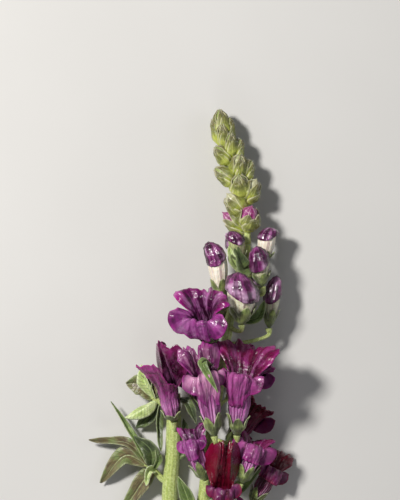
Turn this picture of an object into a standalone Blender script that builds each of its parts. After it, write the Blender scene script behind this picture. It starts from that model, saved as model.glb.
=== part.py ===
"""A cut snapdragon stem lying on a surface, seen from above.

Lengths in this script are millimetres: x to the right, y along the spike towards its tip, z up from the
surface. MM turns them into Blender's metres. The cut stem forks low down. The left fork is leafy and
ends in one open bloom, and the right fork is the flower spike, with open blooms below and buds above.
"""

import math
import random

import bmesh
import bpy
from mathutils import Vector

MM = 0.001

# Wall thicknesses and the running gap between pieces
PETAL_THICK = 0.7
SEPAL_THICK = 0.65
LEAF_THICK = 0.7
SEAT_GAP = 0.3
SEPAL_CLEAR = 1.2

# Open bloom: half-widths of the petal tube from calyx to throat
TUBE_STATIONS = (0.0, 0.16, 0.55, 1.0)
TUBE_SIDE = (1.5, 3.9, 4.8, 5.2)
TUBE_BACK = (1.4, 2.9, 3.6, 4.4)
TUBE_BELLY = (1.6, 4.5, 4.6, 5.2)

# Lip outline against the angle from the back of the bloom: two upper lobes, three lower ones
LIP_ANGLES = (0, 22, 45, 66, 85, 104, 122, 140, 160, 180)
LIP_REACH = (0.68, 0.98, 1.0, 0.80, 0.16, 0.74, 1.0, 0.76, 0.98, 1.0)
LIP_STATIONS = (0.2, 0.42, 0.68, 1.0)
CORNER_ANGLE = 85
LIP_STEPS = 6
PETAL_FOOT = 0.4

# Palate: the hump on the lower lip that closes the mouth, as angle from the belly and share of the lip
PALATE_ANGLE = (24, 17)
PALATE_REACH = (0.3, 0.28)

# Calyx: five sepals around the tube's foot
SEPAL_COUNT = 5
CALYX_FOOT = 1.0
CALYX_DROP = 0.6
CUP_SEPALS = (1.0, 0.85, 0.1)
SEPAL_LENGTH = 7.5

# Coloured bud: narrow tube below, swollen hood above
BUD_STATIONS = (0.06, 0.26, 0.46, 0.56, 0.78, 0.94)
BUD_SPREAD = (0.42, 0.72, 0.86, 1.06, 0.98, 0.55)
BUD_CLEAR = 0.75
BUD_RIDGE = 0.06
BUD_FOOT_SPREAD = 0.2
BUD_CUP = 0.2
BUD_SEPAL_LENGTH = 0.3
BUD_SEPALS = (1.0, 0.2)

# Small green buds of the head, with the bracts that wrap them
HEAD_BUD_STATIONS = (0.08, 0.40, 0.78)
HEAD_BUD_SPREAD = (0.60, 1.0, 0.66)
HEAD_WRAP = 0.6

# Stem routes and radii
SPIKE_ROUTE = (
    (-6.0, -142.0, 3.6), (-6.6, -128.0, 4.6), (-3.5, -114.0, 6.8), (1.2, -100.0, 9.2),
    (3.2, -84.0, 12.0), (5.2, -68.0, 14.4), (7.2, -54.0, 15.8), (9.6, -40.0, 16.2),
    (12.0, -26.0, 15.4), (15.6, -16.0, 14.2), (18.0, -6.0, 12.8), (18.8, 2.0, 11.8),
)
SPIKE_RADII = (3.5, 3.3, 2.7, 2.5, 2.4, 2.3, 2.2, 2.0, 1.8, 1.6, 1.5, 1.4)
SHOOT_ROUTE = (
    (-6.6, -127.0, 4.8), (-9.8, -116.0, 4.8), (-12.0, -100.0, 5.2), (-10.8, -80.0, 6.4),
    (-10.4, -66.0, 7.6), (-10.0, -57.0, 8.6),
)
SHOOT_RADII = (2.6, 3.0, 3.1, 3.0, 2.8, 2.2)
HEAD_ROUTE = (
    (18.85, 2.35, 11.75), (18.4, 13.0, 10.6), (16.8, 25.0, 9.6), (12.8, 36.0, 8.6), (10.2, 44.0, 7.6),
    (8.9, 50.0, 7.2),
)
HEAD_RADII = (1.4, 1.4, 1.3, 1.1, 1.0, 0.8)

# A bud's stalk leaves the stem this far below the bud, and lower still for a bud set wide of the spike
STALK_DROP = 3.0
STALK_SLANT = 0.5
SPIKE_MIDDLE = 14.0
WIDE_OF_SPIKE = 6.0


def clear_scene():
    for old in list(bpy.data.objects):
        bpy.data.objects.remove(old, do_unlink=True)


def material(name, colour, roughness):
    made = bpy.data.materials.new(name)
    made.use_nodes = True
    shader = made.node_tree.nodes["Principled BSDF"]
    shader.inputs["Base Color"].default_value = (*colour, 1.0)
    shader.inputs["Roughness"].default_value = roughness
    shader.inputs["Metallic"].default_value = 0.0
    return made


def between(value, stations, values):
    """Straight-line reading of values at their stations."""
    if value <= stations[0]:
        return values[0]
    for low, high, first, last in zip(stations, stations[1:], values, values[1:]):
        if value <= high:
            return first + (last - first) * (value - low) / (high - low)
    return values[-1]


def eased(value):
    value = min(1.0, max(0.0, value))
    return value * value * (3.0 - 2.0 * value)


def place(name, build, shade):
    """The finished bmesh as an object with its material, shaded smooth."""
    mesh = bpy.data.meshes.new(name)
    for face in build.faces:
        face.smooth = True
    build.to_mesh(mesh)
    build.free()
    mesh.materials.append(shade)
    made = bpy.data.objects.new(name, mesh)
    bpy.context.scene.collection.objects.link(made)
    return made


def sheet(name, rows, shade, thick, ring=False, foot=None):
    """A thin skin over rows of points, thickened evenly; a ring closes round, and foot caps its first row."""
    build = bmesh.new()
    grid = [[build.verts.new(point * MM) for point in row] for row in rows]
    count = len(grid[0])
    for low, high in zip(grid, grid[1:]):
        for at in range(count if ring else count - 1):
            after = (at + 1) % count
            build.faces.new((low[at], low[after], high[after]))
            build.faces.new((low[at], high[after], high[at]))
    if foot is not None:
        centre = build.verts.new(foot * MM)
        for at in range(count):
            build.faces.new((centre, grid[0][(at + 1) % count], grid[0][at]))
    made = place(name, build, shade)
    wall = made.modifiers.new("wall", "SOLIDIFY")
    wall.thickness = thick * MM
    wall.offset = 0.0
    return made


def closed_form(name, rows, foot, tip, shade):
    """A solid skinned over closed rows of points, with a point at each end."""
    build = bmesh.new()
    grid = [[build.verts.new(point * MM) for point in row] for row in rows]
    count = len(grid[0])
    first = build.verts.new(foot * MM)
    last = build.verts.new(tip * MM)
    for at in range(count):
        after = (at + 1) % count
        build.faces.new((first, grid[0][after], grid[0][at]))
        for low, high in zip(grid, grid[1:]):
            build.faces.new((low[at], low[after], high[after]))
            build.faces.new((low[at], high[after], high[at]))
        build.faces.new((grid[-1][at], grid[-1][after], last))
    bmesh.ops.recalc_face_normals(build, faces=build.faces)
    return place(name, build, shade)


def smooth_route(points, steps):
    """Points along a smooth curve through the given ones."""
    points = [Vector(point) for point in points]
    ends = [2 * points[0] - points[1]] + points + [2 * points[-1] - points[-2]]
    found = []
    for at in range(1, len(ends) - 2):
        before, start, stop, after = ends[at - 1:at + 3]
        for step in range(steps):
            t = step / steps
            found.append(0.5 * (
                2 * start + (stop - before) * t
                + (2 * before - 5 * start + 4 * stop - after) * t * t
                + (3 * start - before - 3 * stop + after) * t ** 3
            ))
    found.append(points[-1])
    return found


def rod(name, route, radii, sides, shade):
    """A round stem along a route; radii are spread evenly over it."""
    rows = []
    side = Vector((0, 0, 1)).cross(route[1] - route[0]).normalized()
    for at, point in enumerate(route):
        ahead = (route[min(at + 1, len(route) - 1)] - route[max(at - 1, 0)]).normalized()
        side = (side - ahead * side.dot(ahead)).normalized()
        other = ahead.cross(side)
        share = at / (len(route) - 1) * (len(radii) - 1)
        radius = between(share, range(len(radii)), radii)
        turns = [2 * math.pi * corner / sides for corner in range(sides)]
        rows.append([point + (side * math.cos(turn) + other * math.sin(turn)) * radius for turn in turns])
    return closed_form(name, rows, route[0].copy(), route[-1].copy(), shade)


def fuse(name, pieces, shade):
    """All the pieces joined into one solid by a union."""
    group = bpy.data.collections.new(name + "_pieces")
    bpy.context.scene.collection.children.link(group)
    first, others = pieces[0], pieces[1:]
    for piece in others:
        bpy.context.scene.collection.objects.unlink(piece)
        group.objects.link(piece)
    join = first.modifiers.new("join", "BOOLEAN")
    join.operation = "UNION"
    join.operand_type = "COLLECTION"
    join.collection = group
    join.solver = "MANIFOLD"
    bpy.context.view_layer.update()
    graph = bpy.context.evaluated_depsgraph_get()
    mesh = bpy.data.meshes.new_from_object(first.evaluated_get(graph))
    mesh.materials.clear()
    mesh.materials.append(shade)
    made = bpy.data.objects.new(name, mesh)
    bpy.context.scene.collection.objects.link(made)
    for piece in pieces:
        bpy.data.objects.remove(piece, do_unlink=True)
    bpy.data.collections.remove(group)
    return made


def floret_axes(base, mouth, belly):
    """Side, back and forward directions of a floret whose belly faces the given way."""
    ahead = (mouth - base).normalized()
    back = -(belly - ahead * belly.dot(ahead)).normalized()
    return back.cross(ahead), back, ahead


def tube_point(turn, along, scale):
    """Cross-section of the petal tube: side and back offsets at an angle from the bloom's back."""
    profile = TUBE_BACK if math.cos(turn) > 0 else TUBE_BELLY
    side = between(along, TUBE_STATIONS, TUBE_SIDE) * math.sin(turn)
    back = between(along, TUBE_STATIONS, profile) * math.cos(turn)
    return side * scale, back * scale


def lip_turns():
    """The angles of the petal columns, all the way round."""
    right = [math.radians(angle) for angle in LIP_ANGLES]
    return right + [-turn for turn in reversed(right[1:-1])]


def lip_tilt(angle, along, shape, raised):
    """How far a lip leans outward from straight ahead: the lower one turns back along the tube."""
    corner = 15 + 60 * along
    if angle < CORNER_ANGLE + 1:
        lean = shape["gape_up"] + shape["curl_up"] * eased(along / 0.9)
        lean += shape["roll"] * eased((along - 0.7) / 0.3)
        mix = eased((angle - 50) / 35)
    else:
        lean = shape["gape_low"] + shape["curl_low"] * eased(along / shape["turned_by"])
        upright = raised * math.exp(-((angle - 112) / 26) ** 2)
        lean += (15 + shape["flare"] * along - lean) * upright
        mix = eased((115 - angle) / 30)
    return math.radians(lean * (1 - mix) + corner * mix)


def lip_reach(angle, shape):
    """How far a lip reaches at an angle from the bloom's back, notched between its lobes."""
    notch = 1 - between(angle, LIP_ANGLES, LIP_REACH)
    if angle < CORNER_ANGLE + 1:
        depth = shape["lobes_up"] + (1 - shape["lobes_up"]) * eased((angle - 45) / 20)
        return shape["upper"] * (1 - notch * depth)
    depth = 1 + (shape["lobes_low"] - 1) * eased((angle - 104) / 18)
    share = shape["sides"] + (shape["middle"] - shape["sides"]) * eased((angle - 120) / 30)
    return shape["lower"] * (1 - notch * depth) * share


def petals(name, base, mouth, belly, shade, shape):
    """The petal tube and its two lips as one thin cup."""
    base, mouth, belly = Vector(base), Vector(mouth), Vector(belly)
    side, back, ahead = floret_axes(base, mouth, belly)
    length = (mouth - base).length
    scale = shape["width"]
    chance = random.Random(shape["seed"])
    swell = [chance.uniform(0, 2 * math.pi) for _ in range(2)]
    rows = []
    for along in TUBE_STATIONS:
        row = []
        for turn in lip_turns():
            x, y = tube_point(turn, along, scale)
            row.append(base + side * x + back * y + ahead * along * length)
        rows.append(row)
    rim = rows[-1]
    lips = [[] for _ in LIP_STATIONS]
    for at, turn in enumerate(lip_turns()):
        angle = abs(math.degrees(turn))
        upper = angle < CORNER_ANGLE + 1
        reach = lip_reach(angle, shape)
        raised = shape["raised"][0 if turn < 0 else 1]
        fan = turn * shape["fan"] if upper else turn
        outward = side * math.sin(fan) + back * math.cos(fan)
        hump = 0.0
        if not upper:
            hump = shape["palate"] * math.exp(-((180 - angle - PALATE_ANGLE[0]) / PALATE_ANGLE[1]) ** 2)
        place_at = rim[at].copy()
        done = 0.0
        for row, station in enumerate(LIP_STATIONS):
            for step in range(LIP_STEPS):
                t = done + (station - done) * (step + 0.5) / LIP_STEPS
                tilt = lip_tilt(angle, t, shape, raised)
                pace = reach * (station - done) / LIP_STEPS
                place_at += (ahead * math.cos(tilt) + outward * math.sin(tilt)) * pace
            done = station
            tilt = lip_tilt(angle, station, shape, raised)
            normal = outward * math.cos(tilt) - ahead * math.sin(tilt)
            ruffle = math.sin(3 * turn + swell[0]) + 0.6 * math.sin(5 * turn + swell[1])
            lift = back * hump * math.exp(-((station - PALATE_REACH[0]) / PALATE_REACH[1]) ** 2)
            lips[row].append(place_at + normal * (shape["wave"] * ruffle * station) + lift)
    return sheet(name, rows + lips, shade, PETAL_THICK, ring=True, foot=base - ahead * PETAL_FOOT)


def calyx(name, base, mouth, belly, shade, shape):
    """Five green sepals on a small cup round the foot of the petals."""
    base, mouth, belly = Vector(base), Vector(mouth), Vector(belly)
    side, back, ahead = floret_axes(base, mouth, belly)
    length = (mouth - base).length
    scale = shape["width"]
    columns = len(CUP_SEPALS) * SEPAL_COUNT
    cup = TUBE_STATIONS[1] * length
    rows = []
    for height, reach in ((0.0, 0.0), (cup, 0.0), (cup, 1.0)):
        row = []
        for column in range(columns):
            turn = 2 * math.pi * column / columns
            sepal = CUP_SEPALS[column % len(CUP_SEPALS)]
            tall = height + SEPAL_LENGTH * scale * shape["sepals"] * reach * sepal
            x, y = tube_point(turn, tall / length, scale)
            outward = side * math.sin(turn) + back * math.cos(turn)
            row.append(base + side * x + back * y + ahead * (tall - CALYX_DROP) + outward * SEPAL_CLEAR)
        rows.append(row)
    return sheet(name, rows, shade, SEPAL_THICK, ring=True, foot=base - ahead * (CALYX_FOOT + CALYX_DROP))


def pedicel(base, mouth, start):
    """The short stalk from the stem to the foot of a calyx, with a bend in it."""
    base, mouth, start = Vector(base), Vector(mouth), Vector(start)
    ahead = (mouth - base).normalized()
    seat = base - ahead * (CALYX_FOOT + CALYX_DROP + SEPAL_THICK / 2 + SEAT_GAP)
    bend = seat - ahead * min(4.0, (seat - start).length * 0.4)
    route = (start, start.lerp(bend, 0.65), bend.lerp(seat, 0.3), seat)
    return rod("stalk", route, (1.2, 1.0, 1.0, 1.3), 5, GREEN)


def bud(name, base, tip, radius, shade, stations, spread, ridge=BUD_RIDGE, columns=10):
    """A closed bud with lengthwise folds, its half-widths given as shares of the radius."""
    base, tip = Vector(base), Vector(tip)
    side, back, ahead = floret_axes(base, tip, Vector((0, 0, 1)))
    length = (tip - base).length
    rows = []
    for along, wide in zip(stations, spread):
        row = []
        for column in range(columns):
            turn = 2 * math.pi * column / columns
            fold = 1 + ridge * (1 if column % 2 == 0 else -1)
            outward = side * math.sin(turn) + back * math.cos(turn)
            row.append(base + ahead * along * length + outward * radius * wide * fold)
        rows.append(row)
    return closed_form(name, rows, base, tip, shade)


def bud_calyx(name, base, tip, radius, shade):
    """Five sepals that hold the foot of a bud."""
    base, tip = Vector(base), Vector(tip)
    side, back, ahead = floret_axes(base, tip, Vector((0, 0, 1)))
    full = (tip - base).length
    columns = 2 * SEPAL_COUNT
    rows = []
    for along, reach in ((0.0, 0.0), (BUD_CUP, 0.0), (BUD_CUP, 1.0)):
        row = []
        for column in range(columns):
            turn = 2 * math.pi * (column + 0.5) / columns
            sepal = BUD_SEPALS[column % 2]
            share = along + BUD_SEPAL_LENGTH * reach * sepal
            wide = between(share, (0.0, *BUD_STATIONS), (BUD_FOOT_SPREAD, *BUD_SPREAD)) * (1 + BUD_RIDGE)
            outward = side * math.sin(turn) + back * math.cos(turn)
            row.append(base + ahead * (share * full - CALYX_DROP) + outward * (radius * wide + BUD_CLEAR))
        rows.append(row)
    return sheet(name, rows, shade, SEPAL_THICK, ring=True, foot=base - ahead * (CALYX_FOOT + CALYX_DROP))


def blade(name, route, width, facing, shade, across=5, along=8, fold=0.25, wave=0.0, seed=1, tip_share=0.05):
    """A leaf: a tapering sheet along a route, folded at the midrib and waved at the edges."""
    line = smooth_route(route, max(2, math.ceil(along / (len(route) - 1))))
    facing = Vector(facing)
    chance = random.Random(seed)
    phase = chance.uniform(0, 2 * math.pi)
    rows = []
    last = len(line) - 1
    for at, point in enumerate(line):
        ahead = (line[min(at + 1, last)] - line[max(at - 1, 0)]).normalized()
        side = ahead.cross(facing).normalized()
        up = side.cross(ahead)
        share = at / last
        half = width / 2 * max(tip_share, math.sin(math.pi * min(1.0, 0.06 + 0.94 * share)) ** 0.8)
        row = []
        for column in range(across):
            out = 2 * column / (across - 1) - 1
            rise = fold * half * abs(out)
            ripple = wave * out * abs(out) * math.sin(7 * share + phase + (1.3 if out > 0 else 0))
            row.append(point + side * half * out + up * (rise + ripple))
        rows.append(row)
    return sheet(name, rows, shade, LEAF_THICK)


clear_scene()

GREEN = material("stem_green", (0.42, 0.55, 0.16), 0.45)
LEAF = material("leaf_green", (0.16, 0.30, 0.07), 0.5)
SEPAL = material("sepal_green", (0.32, 0.45, 0.14), 0.5)
PETAL = material("petal_purple", (0.25, 0.02, 0.20), 0.3)
BUD = material("bud_purple", (0.30, 0.04, 0.24), 0.3)

STANDARD = {
    "width": 0.85, "upper": 13.0, "lower": 13.5, "gape_up": -10, "curl_up": 100, "gape_low": -30,
    "curl_low": 200, "turned_by": 0.5, "lobes_up": 1.0, "lobes_low": 0.35, "raised": (0.0, 0.0),
    "sides": 1.0, "middle": 1.0, "flare": 60, "fan": 0.9, "roll": 0, "palate": 1.8, "wave": 0.6,
    "sepals": 1.0, "seed": 1,
}

# Each open bloom: foot of the petals, throat, the way its belly faces, where its stalk leaves the stem
BLOOMS = {
    "bloom_01": (
        (4.6, -36.3, 17.7), (1.2, -26.5, 28.3), (-0.4, -0.6, 0.7), (8.6, -44.0, 16.0),
        {"width": 0.84, "upper": 12.5, "lower": 12.5, "gape_up": 15, "curl_up": 60, "lobes_low": 1.0,
         "raised": (0.9, 0.6), "sides": 0.9, "roll": 40, "fan": 1.3, "seed": 3},
    ),
    "bloom_02": (
        (5.4, -71.5, 26.2), (2.2, -50.5, 29.5), (0.35, 0, 1), (4.6, -78.0, 14.0),
        {"width": 0.8, "upper": 13.5, "lower": 16.5, "gape_up": 0, "curl_up": 15, "roll": 10, "curl_low": 210,
         "raised": (0.25, 0.0), "sides": 0.48, "lobes_low": 0.2, "fan": 0.75, "sepals": 0.75, "seed": 5},
    ),
    "bloom_03": (
        (14.6, -71.5, 21.0), (16.2, -50.5, 27.0), (-0.35, 0, 1), (5.2, -75.0, 14.0),
        {"width": 0.82, "upper": 14.6, "lower": 16.5, "gape_up": 20, "curl_up": 30, "curl_low": 210,
         "lobes_up": 0.5, "lobes_low": 0.2, "raised": (0.2, 0.1), "sides": 0.46, "fan": 1.05, "sepals": 0.75,
         "seed": 7},
    ),
    "bloom_04": (
        (-10.4, -66.5, 14.0), (-12.6, -54.5, 19.0), (-0.75, 0, 0.7), (-10.2, -72.0, 8.0),
        {"width": 0.8, "upper": 19.0, "lower": 13.5, "gape_up": -4, "curl_up": -6, "raised": (1.0, 1.0),
         "flare": 4, "sides": 1.0, "middle": 0.5, "lobes_low": 0.6, "roll": 20, "fan": 0.7, "palate": 0.0,
         "wave": 0.9, "sepals": 0.55, "seed": 9},
    ),
    "bloom_05": (
        (1.6, -89.5, 19.5), (-2.8, -76.0, 20.5), (-0.6, 0, 1), (2.2, -97.0, 10.5),
        {"width": 0.68, "upper": 10.0, "lower": 9.0, "seed": 11},
    ),
    "bloom_06": (
        (16.5, -90.8, 18.75), (21.0, -78.8, 17.75), (0.2, 0, 1), (2.8, -103.0, 9.2),
        {"width": 0.72, "upper": 7.8, "lower": 9.0, "sepals": 1.1, "seed": 13},
    ),
    "bloom_07": (
        (7.8, -107.0, 22.0), (8.8, -94.0, 25.0), (0.1, 0, 1), (0.0, -113.0, 7.6),
        {"width": 0.72, "upper": 19.4, "lower": 8.0, "gape_up": -15, "curl_up": 15, "lobes_up": 0.4,
         "fan": 0.6, "roll": 20, "seed": 15},
    ),
    "bloom_08": (
        (21.0, -100.0, 7.8), (28.5, -87.5, 7.8), (0.5, 0, 1), (2.0, -107.0, 8.0),
        {"width": 0.66, "upper": 11.0, "lower": 8.0, "gape_up": -5, "curl_up": 60, "seed": 17},
    ),
    "bloom_09": (
        (14.5, -120.0, 17.0), (20.0, -106.5, 18.5), (0.1, 0, 1), (-3.0, -117.0, 6.5),
        {"width": 0.68, "upper": 10.0, "lower": 8.5, "seed": 19},
    ),
    "bloom_10": (
        (3.0, -64.0, 8.8), (-1.5, -48.5, 7.4), (-0.2, 0, -1), (5.6, -70.0, 12.6),
        {"width": 0.8, "upper": 10.0, "lower": 10.0, "seed": 21},
    ),
    "bloom_11": (
        (12.6, -57.0, 9.0), (21.5, -47.0, 7.4), (0.3, 0, -1), (7.8, -61.0, 13.6),
        {"width": 0.78, "upper": 8.0, "lower": 10.0, "curl_up": 70, "seed": 23},
    ),
    "bloom_12": (
        (11.6, -77.5, 7.2), (21.0, -65.5, 6.8), (0.3, 0, -1), (4.4, -84.0, 10.0),
        {"width": 0.76, "upper": 7.0, "lower": 9.0, "curl_up": 60, "seed": 25},
    ),
}

# Each coloured bud: foot, tip, radius
BUDS = {
    "bud_01": ((16.4, -28.0, 21.5), (16.6, -8.6, 24.5), 6.0),
    "bud_02": ((8.4, -18.0, 17.5), (5.8, 3.4, 19.0), 3.8),
    "bud_03": ((24.4, -13.0, 16.8), (22.8, 1.6, 19.5), 3.9),
    "bud_04": ((27.4, -29.5, 11.5), (29.4, -10.0, 11.5), 3.3),
    "bud_05": ((15.6, -4.5, 15.8), (13.6, 8.0, 18.8), 3.6),
    "bud_06": ((25.2, -4.0, 11.4), (27.2, 9.0, 12.6), 3.6),
    "bud_07": ((11.0, -30.5, 9.2), (5.5, -14.0, 5.6), 4.6),
    "bud_08": ((19.6, -20.5, 7.2), (21.6, -5.0, 4.6), 4.2),
    "bud_09": ((14.6, -5.0, 6.2), (13.0, 8.0, 3.6), 3.4),
}

# Each small bud of the head: foot, tip, radius
HEAD_BUDS = (
    ((9.6, 43.0, 7.8), (7.6, 56.2, 8.6), 3.4),
    ((9.4, 42.0, 7.8), (5.0, 52.5, 9.0), 2.5),
    ((10.2, 41.5, 8.0), (11.8, 53.0, 9.2), 2.5),
    ((10.0, 41.0, 8.2), (8.6, 50.0, 12.6), 2.4),
    ((12.2, 37.5, 8.6), (12.0, 46.4, 13.0), 2.6),
    ((13.0, 36.5, 8.6), (16.2, 44.5, 10.0), 2.7),
    ((12.0, 35.0, 8.8), (5.8, 41.0, 12.0), 2.9),
    ((14.8, 29.5, 9.2), (15.6, 38.0, 14.0), 3.2),
    ((16.4, 28.0, 9.4), (20.6, 35.8, 10.5), 2.8),
    ((15.0, 27.0, 9.6), (5.6, 32.5, 11.0), 3.2),
    ((16.4, 21.5, 10.0), (15.2, 30.0, 15.5), 3.7),
    ((17.6, 19.5, 10.2), (22.6, 28.6, 12.5), 3.9),
    ((17.4, 15.0, 10.6), (10.4, 22.6, 13.5), 3.9),
    ((18.4, 8.5, 11.0), (20.6, 17.8, 16.0), 4.2),
    ((18.0, 8.0, 11.0), (8.6, 15.2, 11.0), 3.2),
    ((10.0, 41.0, 7.6), (9.0, 50.0, 3.4), 2.4),
    ((13.0, 35.0, 8.4), (11.0, 43.0, 3.0), 2.7),
    ((14.5, 30.0, 9.0), (18.0, 37.0, 4.0), 2.9),
    ((15.4, 26.0, 9.4), (11.0, 33.0, 4.0), 3.1),
    ((16.8, 20.0, 9.8), (20.0, 28.0, 4.6), 3.5),
    ((17.6, 15.0, 10.2), (13.0, 22.5, 4.8), 3.6),
    ((18.4, 9.0, 10.8), (20.5, 17.6, 5.4), 3.9),
)

# Bracts on the stem: route, width, facing, midrib fold
BRACTS = (
    (((-9.5, -60.0, 9.0), (-5.0, -60.5, 13.6), (-1.6, -69.0, 13.4)), 4.2, (0.3, 0.6, 1), 0.3),
    (((-9.6, -84.0, 6.4), (-5.4, -77.0, 8.4), (-6.6, -67.0, 9.4)), 4.4, (0.2, 0, 1), 0.4),
    (((-2.6, -108.0, 8.4), (-4.6, -99.0, 13.0), (-8.6, -89.5, 13.4)), 6.0, (-0.3, -0.3, 1), 0.3),
    (((2.4, -99.0, 10.0), (13.0, -95.5, 12.6), (24.0, -87.0, 13.0)), 5.4, (-0.2, -0.2, 1), 0.35),
    (((17.4, -9.0, 13.4), (17.2, -6.8, 18.6), (14.6, -0.4, 22.0)), 5.2, (0, 0.6, 1), 0.3),
    (((12.6, -27.0, 15.0), (22.0, -27.0, 16.0), (25.6, -20.0, 16.0)), 4.4, (0, 0.3, 1), 0.4),
)

# Leafy sprays: stalk, then for each leaf its route, width, facing, midrib fold, edge wave and columns
LEAFY_SPRAYS = {
    "spray_upper": (
        ((-14.0, -62.0, 7.8), (-16.5, -60.0, 8.0), (-19.5, -58.5, 8.2)),
        (
            (((-18.5, -59.0, 8.2), (-23.0, -52.5, 8.6), (-29.0, -51.5, 6.0)),
             10.0, (0.2, -0.4, 1), 0.5, 0.5, 5),
            (((-17.5, -59.6, 8.6), (-23.0, -63.0, 10.5), (-29.5, -66.5, 8.5)),
             6.5, (-0.2, 0.5, 1), -0.4, 0.3, 5),
            (((-16.6, -60.4, 7.4), (-20.5, -67.0, 5.4), (-25.0, -71.0, 3.6)),
             5.0, (0.3, 0.3, 1), 0.3, 0.2, 3),
            (((-15.6, -60.8, 7.6), (-16.6, -68.0, 7.6), (-15.8, -80.0, 10.4)),
             4.0, (0.6, 0, 1), 0.3, 0.2, 3),
        ),
    ),
    "spray_lower": (
        ((-15.8, -90.5, 5.6), (-18.5, -87.5, 5.6), (-22.0, -85.0, 5.8)),
        (
            (((-20.5, -86.2, 6.0), (-26.0, -75.0, 7.5), (-35.6, -60.4, 6.0)),
             3.6, (0.3, 0.3, 1), 0.5, 0.2, 3),
            (((-21.0, -85.4, 6.2), (-29.0, -77.0, 5.5), (-44.0, -76.6, 3.0)),
             5.5, (0, 0.5, 1), 0.4, 0.4, 3),
            (((-21.0, -85.6, 5.4), (-30.0, -83.0, 5.2), (-39.0, -93.0, 2.4)),
             9.0, (-0.2, 0.3, 1), 0.3, 0.4, 5),
            (((-19.6, -86.8, 6.2), (-19.5, -79.0, 11.0), (-26.0, -73.5, 13.0)),
             8.5, (0, -0.3, 1), 0.3, 0.5, 5),
            (((-18.6, -87.6, 5.4), (-22.0, -92.0, 4.6), (-32.0, -106.0, 1.6)),
             7.5, (0, 0.3, 1), 0.35, 0.4, 5),
        ),
    ),
}


def head_of_buds():
    """Small buds in their bracts, crowded round the top of the spike."""
    pieces = [rod("head_core", smooth_route(HEAD_ROUTE, 2), HEAD_RADII, 8, SEPAL)]
    for foot, tip, radius in HEAD_BUDS:
        pieces.append(
            bud("head_bud", foot, tip, radius + HEAD_WRAP, SEPAL, HEAD_BUD_STATIONS, HEAD_BUD_SPREAD, 0.0, 7)
        )
    return fuse("head", pieces, SEPAL)


def build_flower():
    stalks = [
        rod("stem_core", smooth_route(SPIKE_ROUTE, 2), SPIKE_RADII, 12, GREEN),
        rod("shoot_core", smooth_route(SHOOT_ROUTE, 2), SHOOT_RADII, 12, GREEN),
    ]
    for name, (base, mouth, belly, start, change) in BLOOMS.items():
        shape = {**STANDARD, **change}
        petals(name + "_petals", base, mouth, belly, PETAL, shape)
        calyx(name + "_calyx", base, mouth, belly, SEPAL, shape)
        stalks.append(pedicel(base, mouth, start))
    spike = smooth_route(SPIKE_ROUTE, 6)
    for name, (base, tip, radius) in BUDS.items():
        bud(name + "_petals", base, tip, radius, BUD, BUD_STATIONS, BUD_SPREAD)
        bud_calyx(name + "_calyx", base, tip, radius, SEPAL)
        wide = max(0.0, abs(base[0] - SPIKE_MIDDLE) - WIDE_OF_SPIKE)
        drop = Vector((0, STALK_DROP + STALK_SLANT * wide, 0))
        start = min(spike, key=lambda point: (point - Vector(base) + drop).length)
        stalks.append(pedicel(base, tip, start))
    for number, (route, width, facing, fold) in enumerate(BRACTS):
        stalks.append(blade("bract", route, width, facing, GREEN, 3, 4, fold, 0.0, number, 0.2))
    fuse("stem", stalks, GREEN)
    head_of_buds()
    for name, (stalk, leaves) in LEAFY_SPRAYS.items():
        pieces = [rod("spray_stalk", smooth_route(stalk, 3), (1.3, 1.0), 6, LEAF)]
        for number, (route, width, facing, fold, wave, across) in enumerate(leaves):
            pieces.append(blade("leaf", route, width, facing, LEAF, across, 6, fold, wave, number))
        fuse(name, pieces, LEAF)


def rest_at_origin():
    """Parents every piece to one empty that brings the middle of the flower's foot print to the origin."""
    bpy.context.view_layer.update()
    graph = bpy.context.evaluated_depsgraph_get()
    pieces = [piece for piece in bpy.context.scene.objects if piece.type == "MESH"]
    low, high = Vector((math.inf,) * 3), Vector((-math.inf,) * 3)
    for piece in pieces:
        for corner in piece.evaluated_get(graph).bound_box:
            spot = piece.matrix_world @ Vector(corner)
            low = Vector(map(min, low, spot))
            high = Vector(map(max, high, spot))
    frame = bpy.data.objects.new("flower_frame", None)
    bpy.context.scene.collection.objects.link(frame)
    frame.location = (-(low.x + high.x) / 2, -(low.y + high.y) / 2, -low.z)
    for piece in pieces:
        piece.parent = frame


build_flower()
rest_at_origin()
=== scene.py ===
"""The looks of a cut snapdragon stem that lies on a pale surface and is seen from straight above.

Lengths are millimetres, measured from the middle of the picture: x to the right, y along the spike to its
tip, z up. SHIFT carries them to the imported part's own origin, and MM turns them into metres.
"""

import random
from math import cos, degrees, exp, pi, radians, sin, tau

import bpy
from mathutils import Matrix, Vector
from mathutils.noise import noise


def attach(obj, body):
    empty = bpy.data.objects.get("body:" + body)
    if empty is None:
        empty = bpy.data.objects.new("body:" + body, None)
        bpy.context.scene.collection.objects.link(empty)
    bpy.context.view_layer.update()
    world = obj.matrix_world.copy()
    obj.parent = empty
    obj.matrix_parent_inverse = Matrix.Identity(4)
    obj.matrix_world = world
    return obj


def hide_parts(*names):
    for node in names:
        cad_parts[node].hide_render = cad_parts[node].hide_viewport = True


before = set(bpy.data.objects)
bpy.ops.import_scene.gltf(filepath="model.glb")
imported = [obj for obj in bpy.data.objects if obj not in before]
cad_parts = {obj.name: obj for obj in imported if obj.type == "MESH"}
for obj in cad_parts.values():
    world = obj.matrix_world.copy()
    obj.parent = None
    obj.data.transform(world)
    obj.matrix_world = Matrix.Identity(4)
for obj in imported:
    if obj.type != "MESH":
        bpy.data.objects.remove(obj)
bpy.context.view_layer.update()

# The stem: one grown stalk that forks low down into the axis of the flower spike and a leafy side shoot.
# It is fresh and pale yellow-green, finely ribbed along its length, and cut straight across at its foot.

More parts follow.
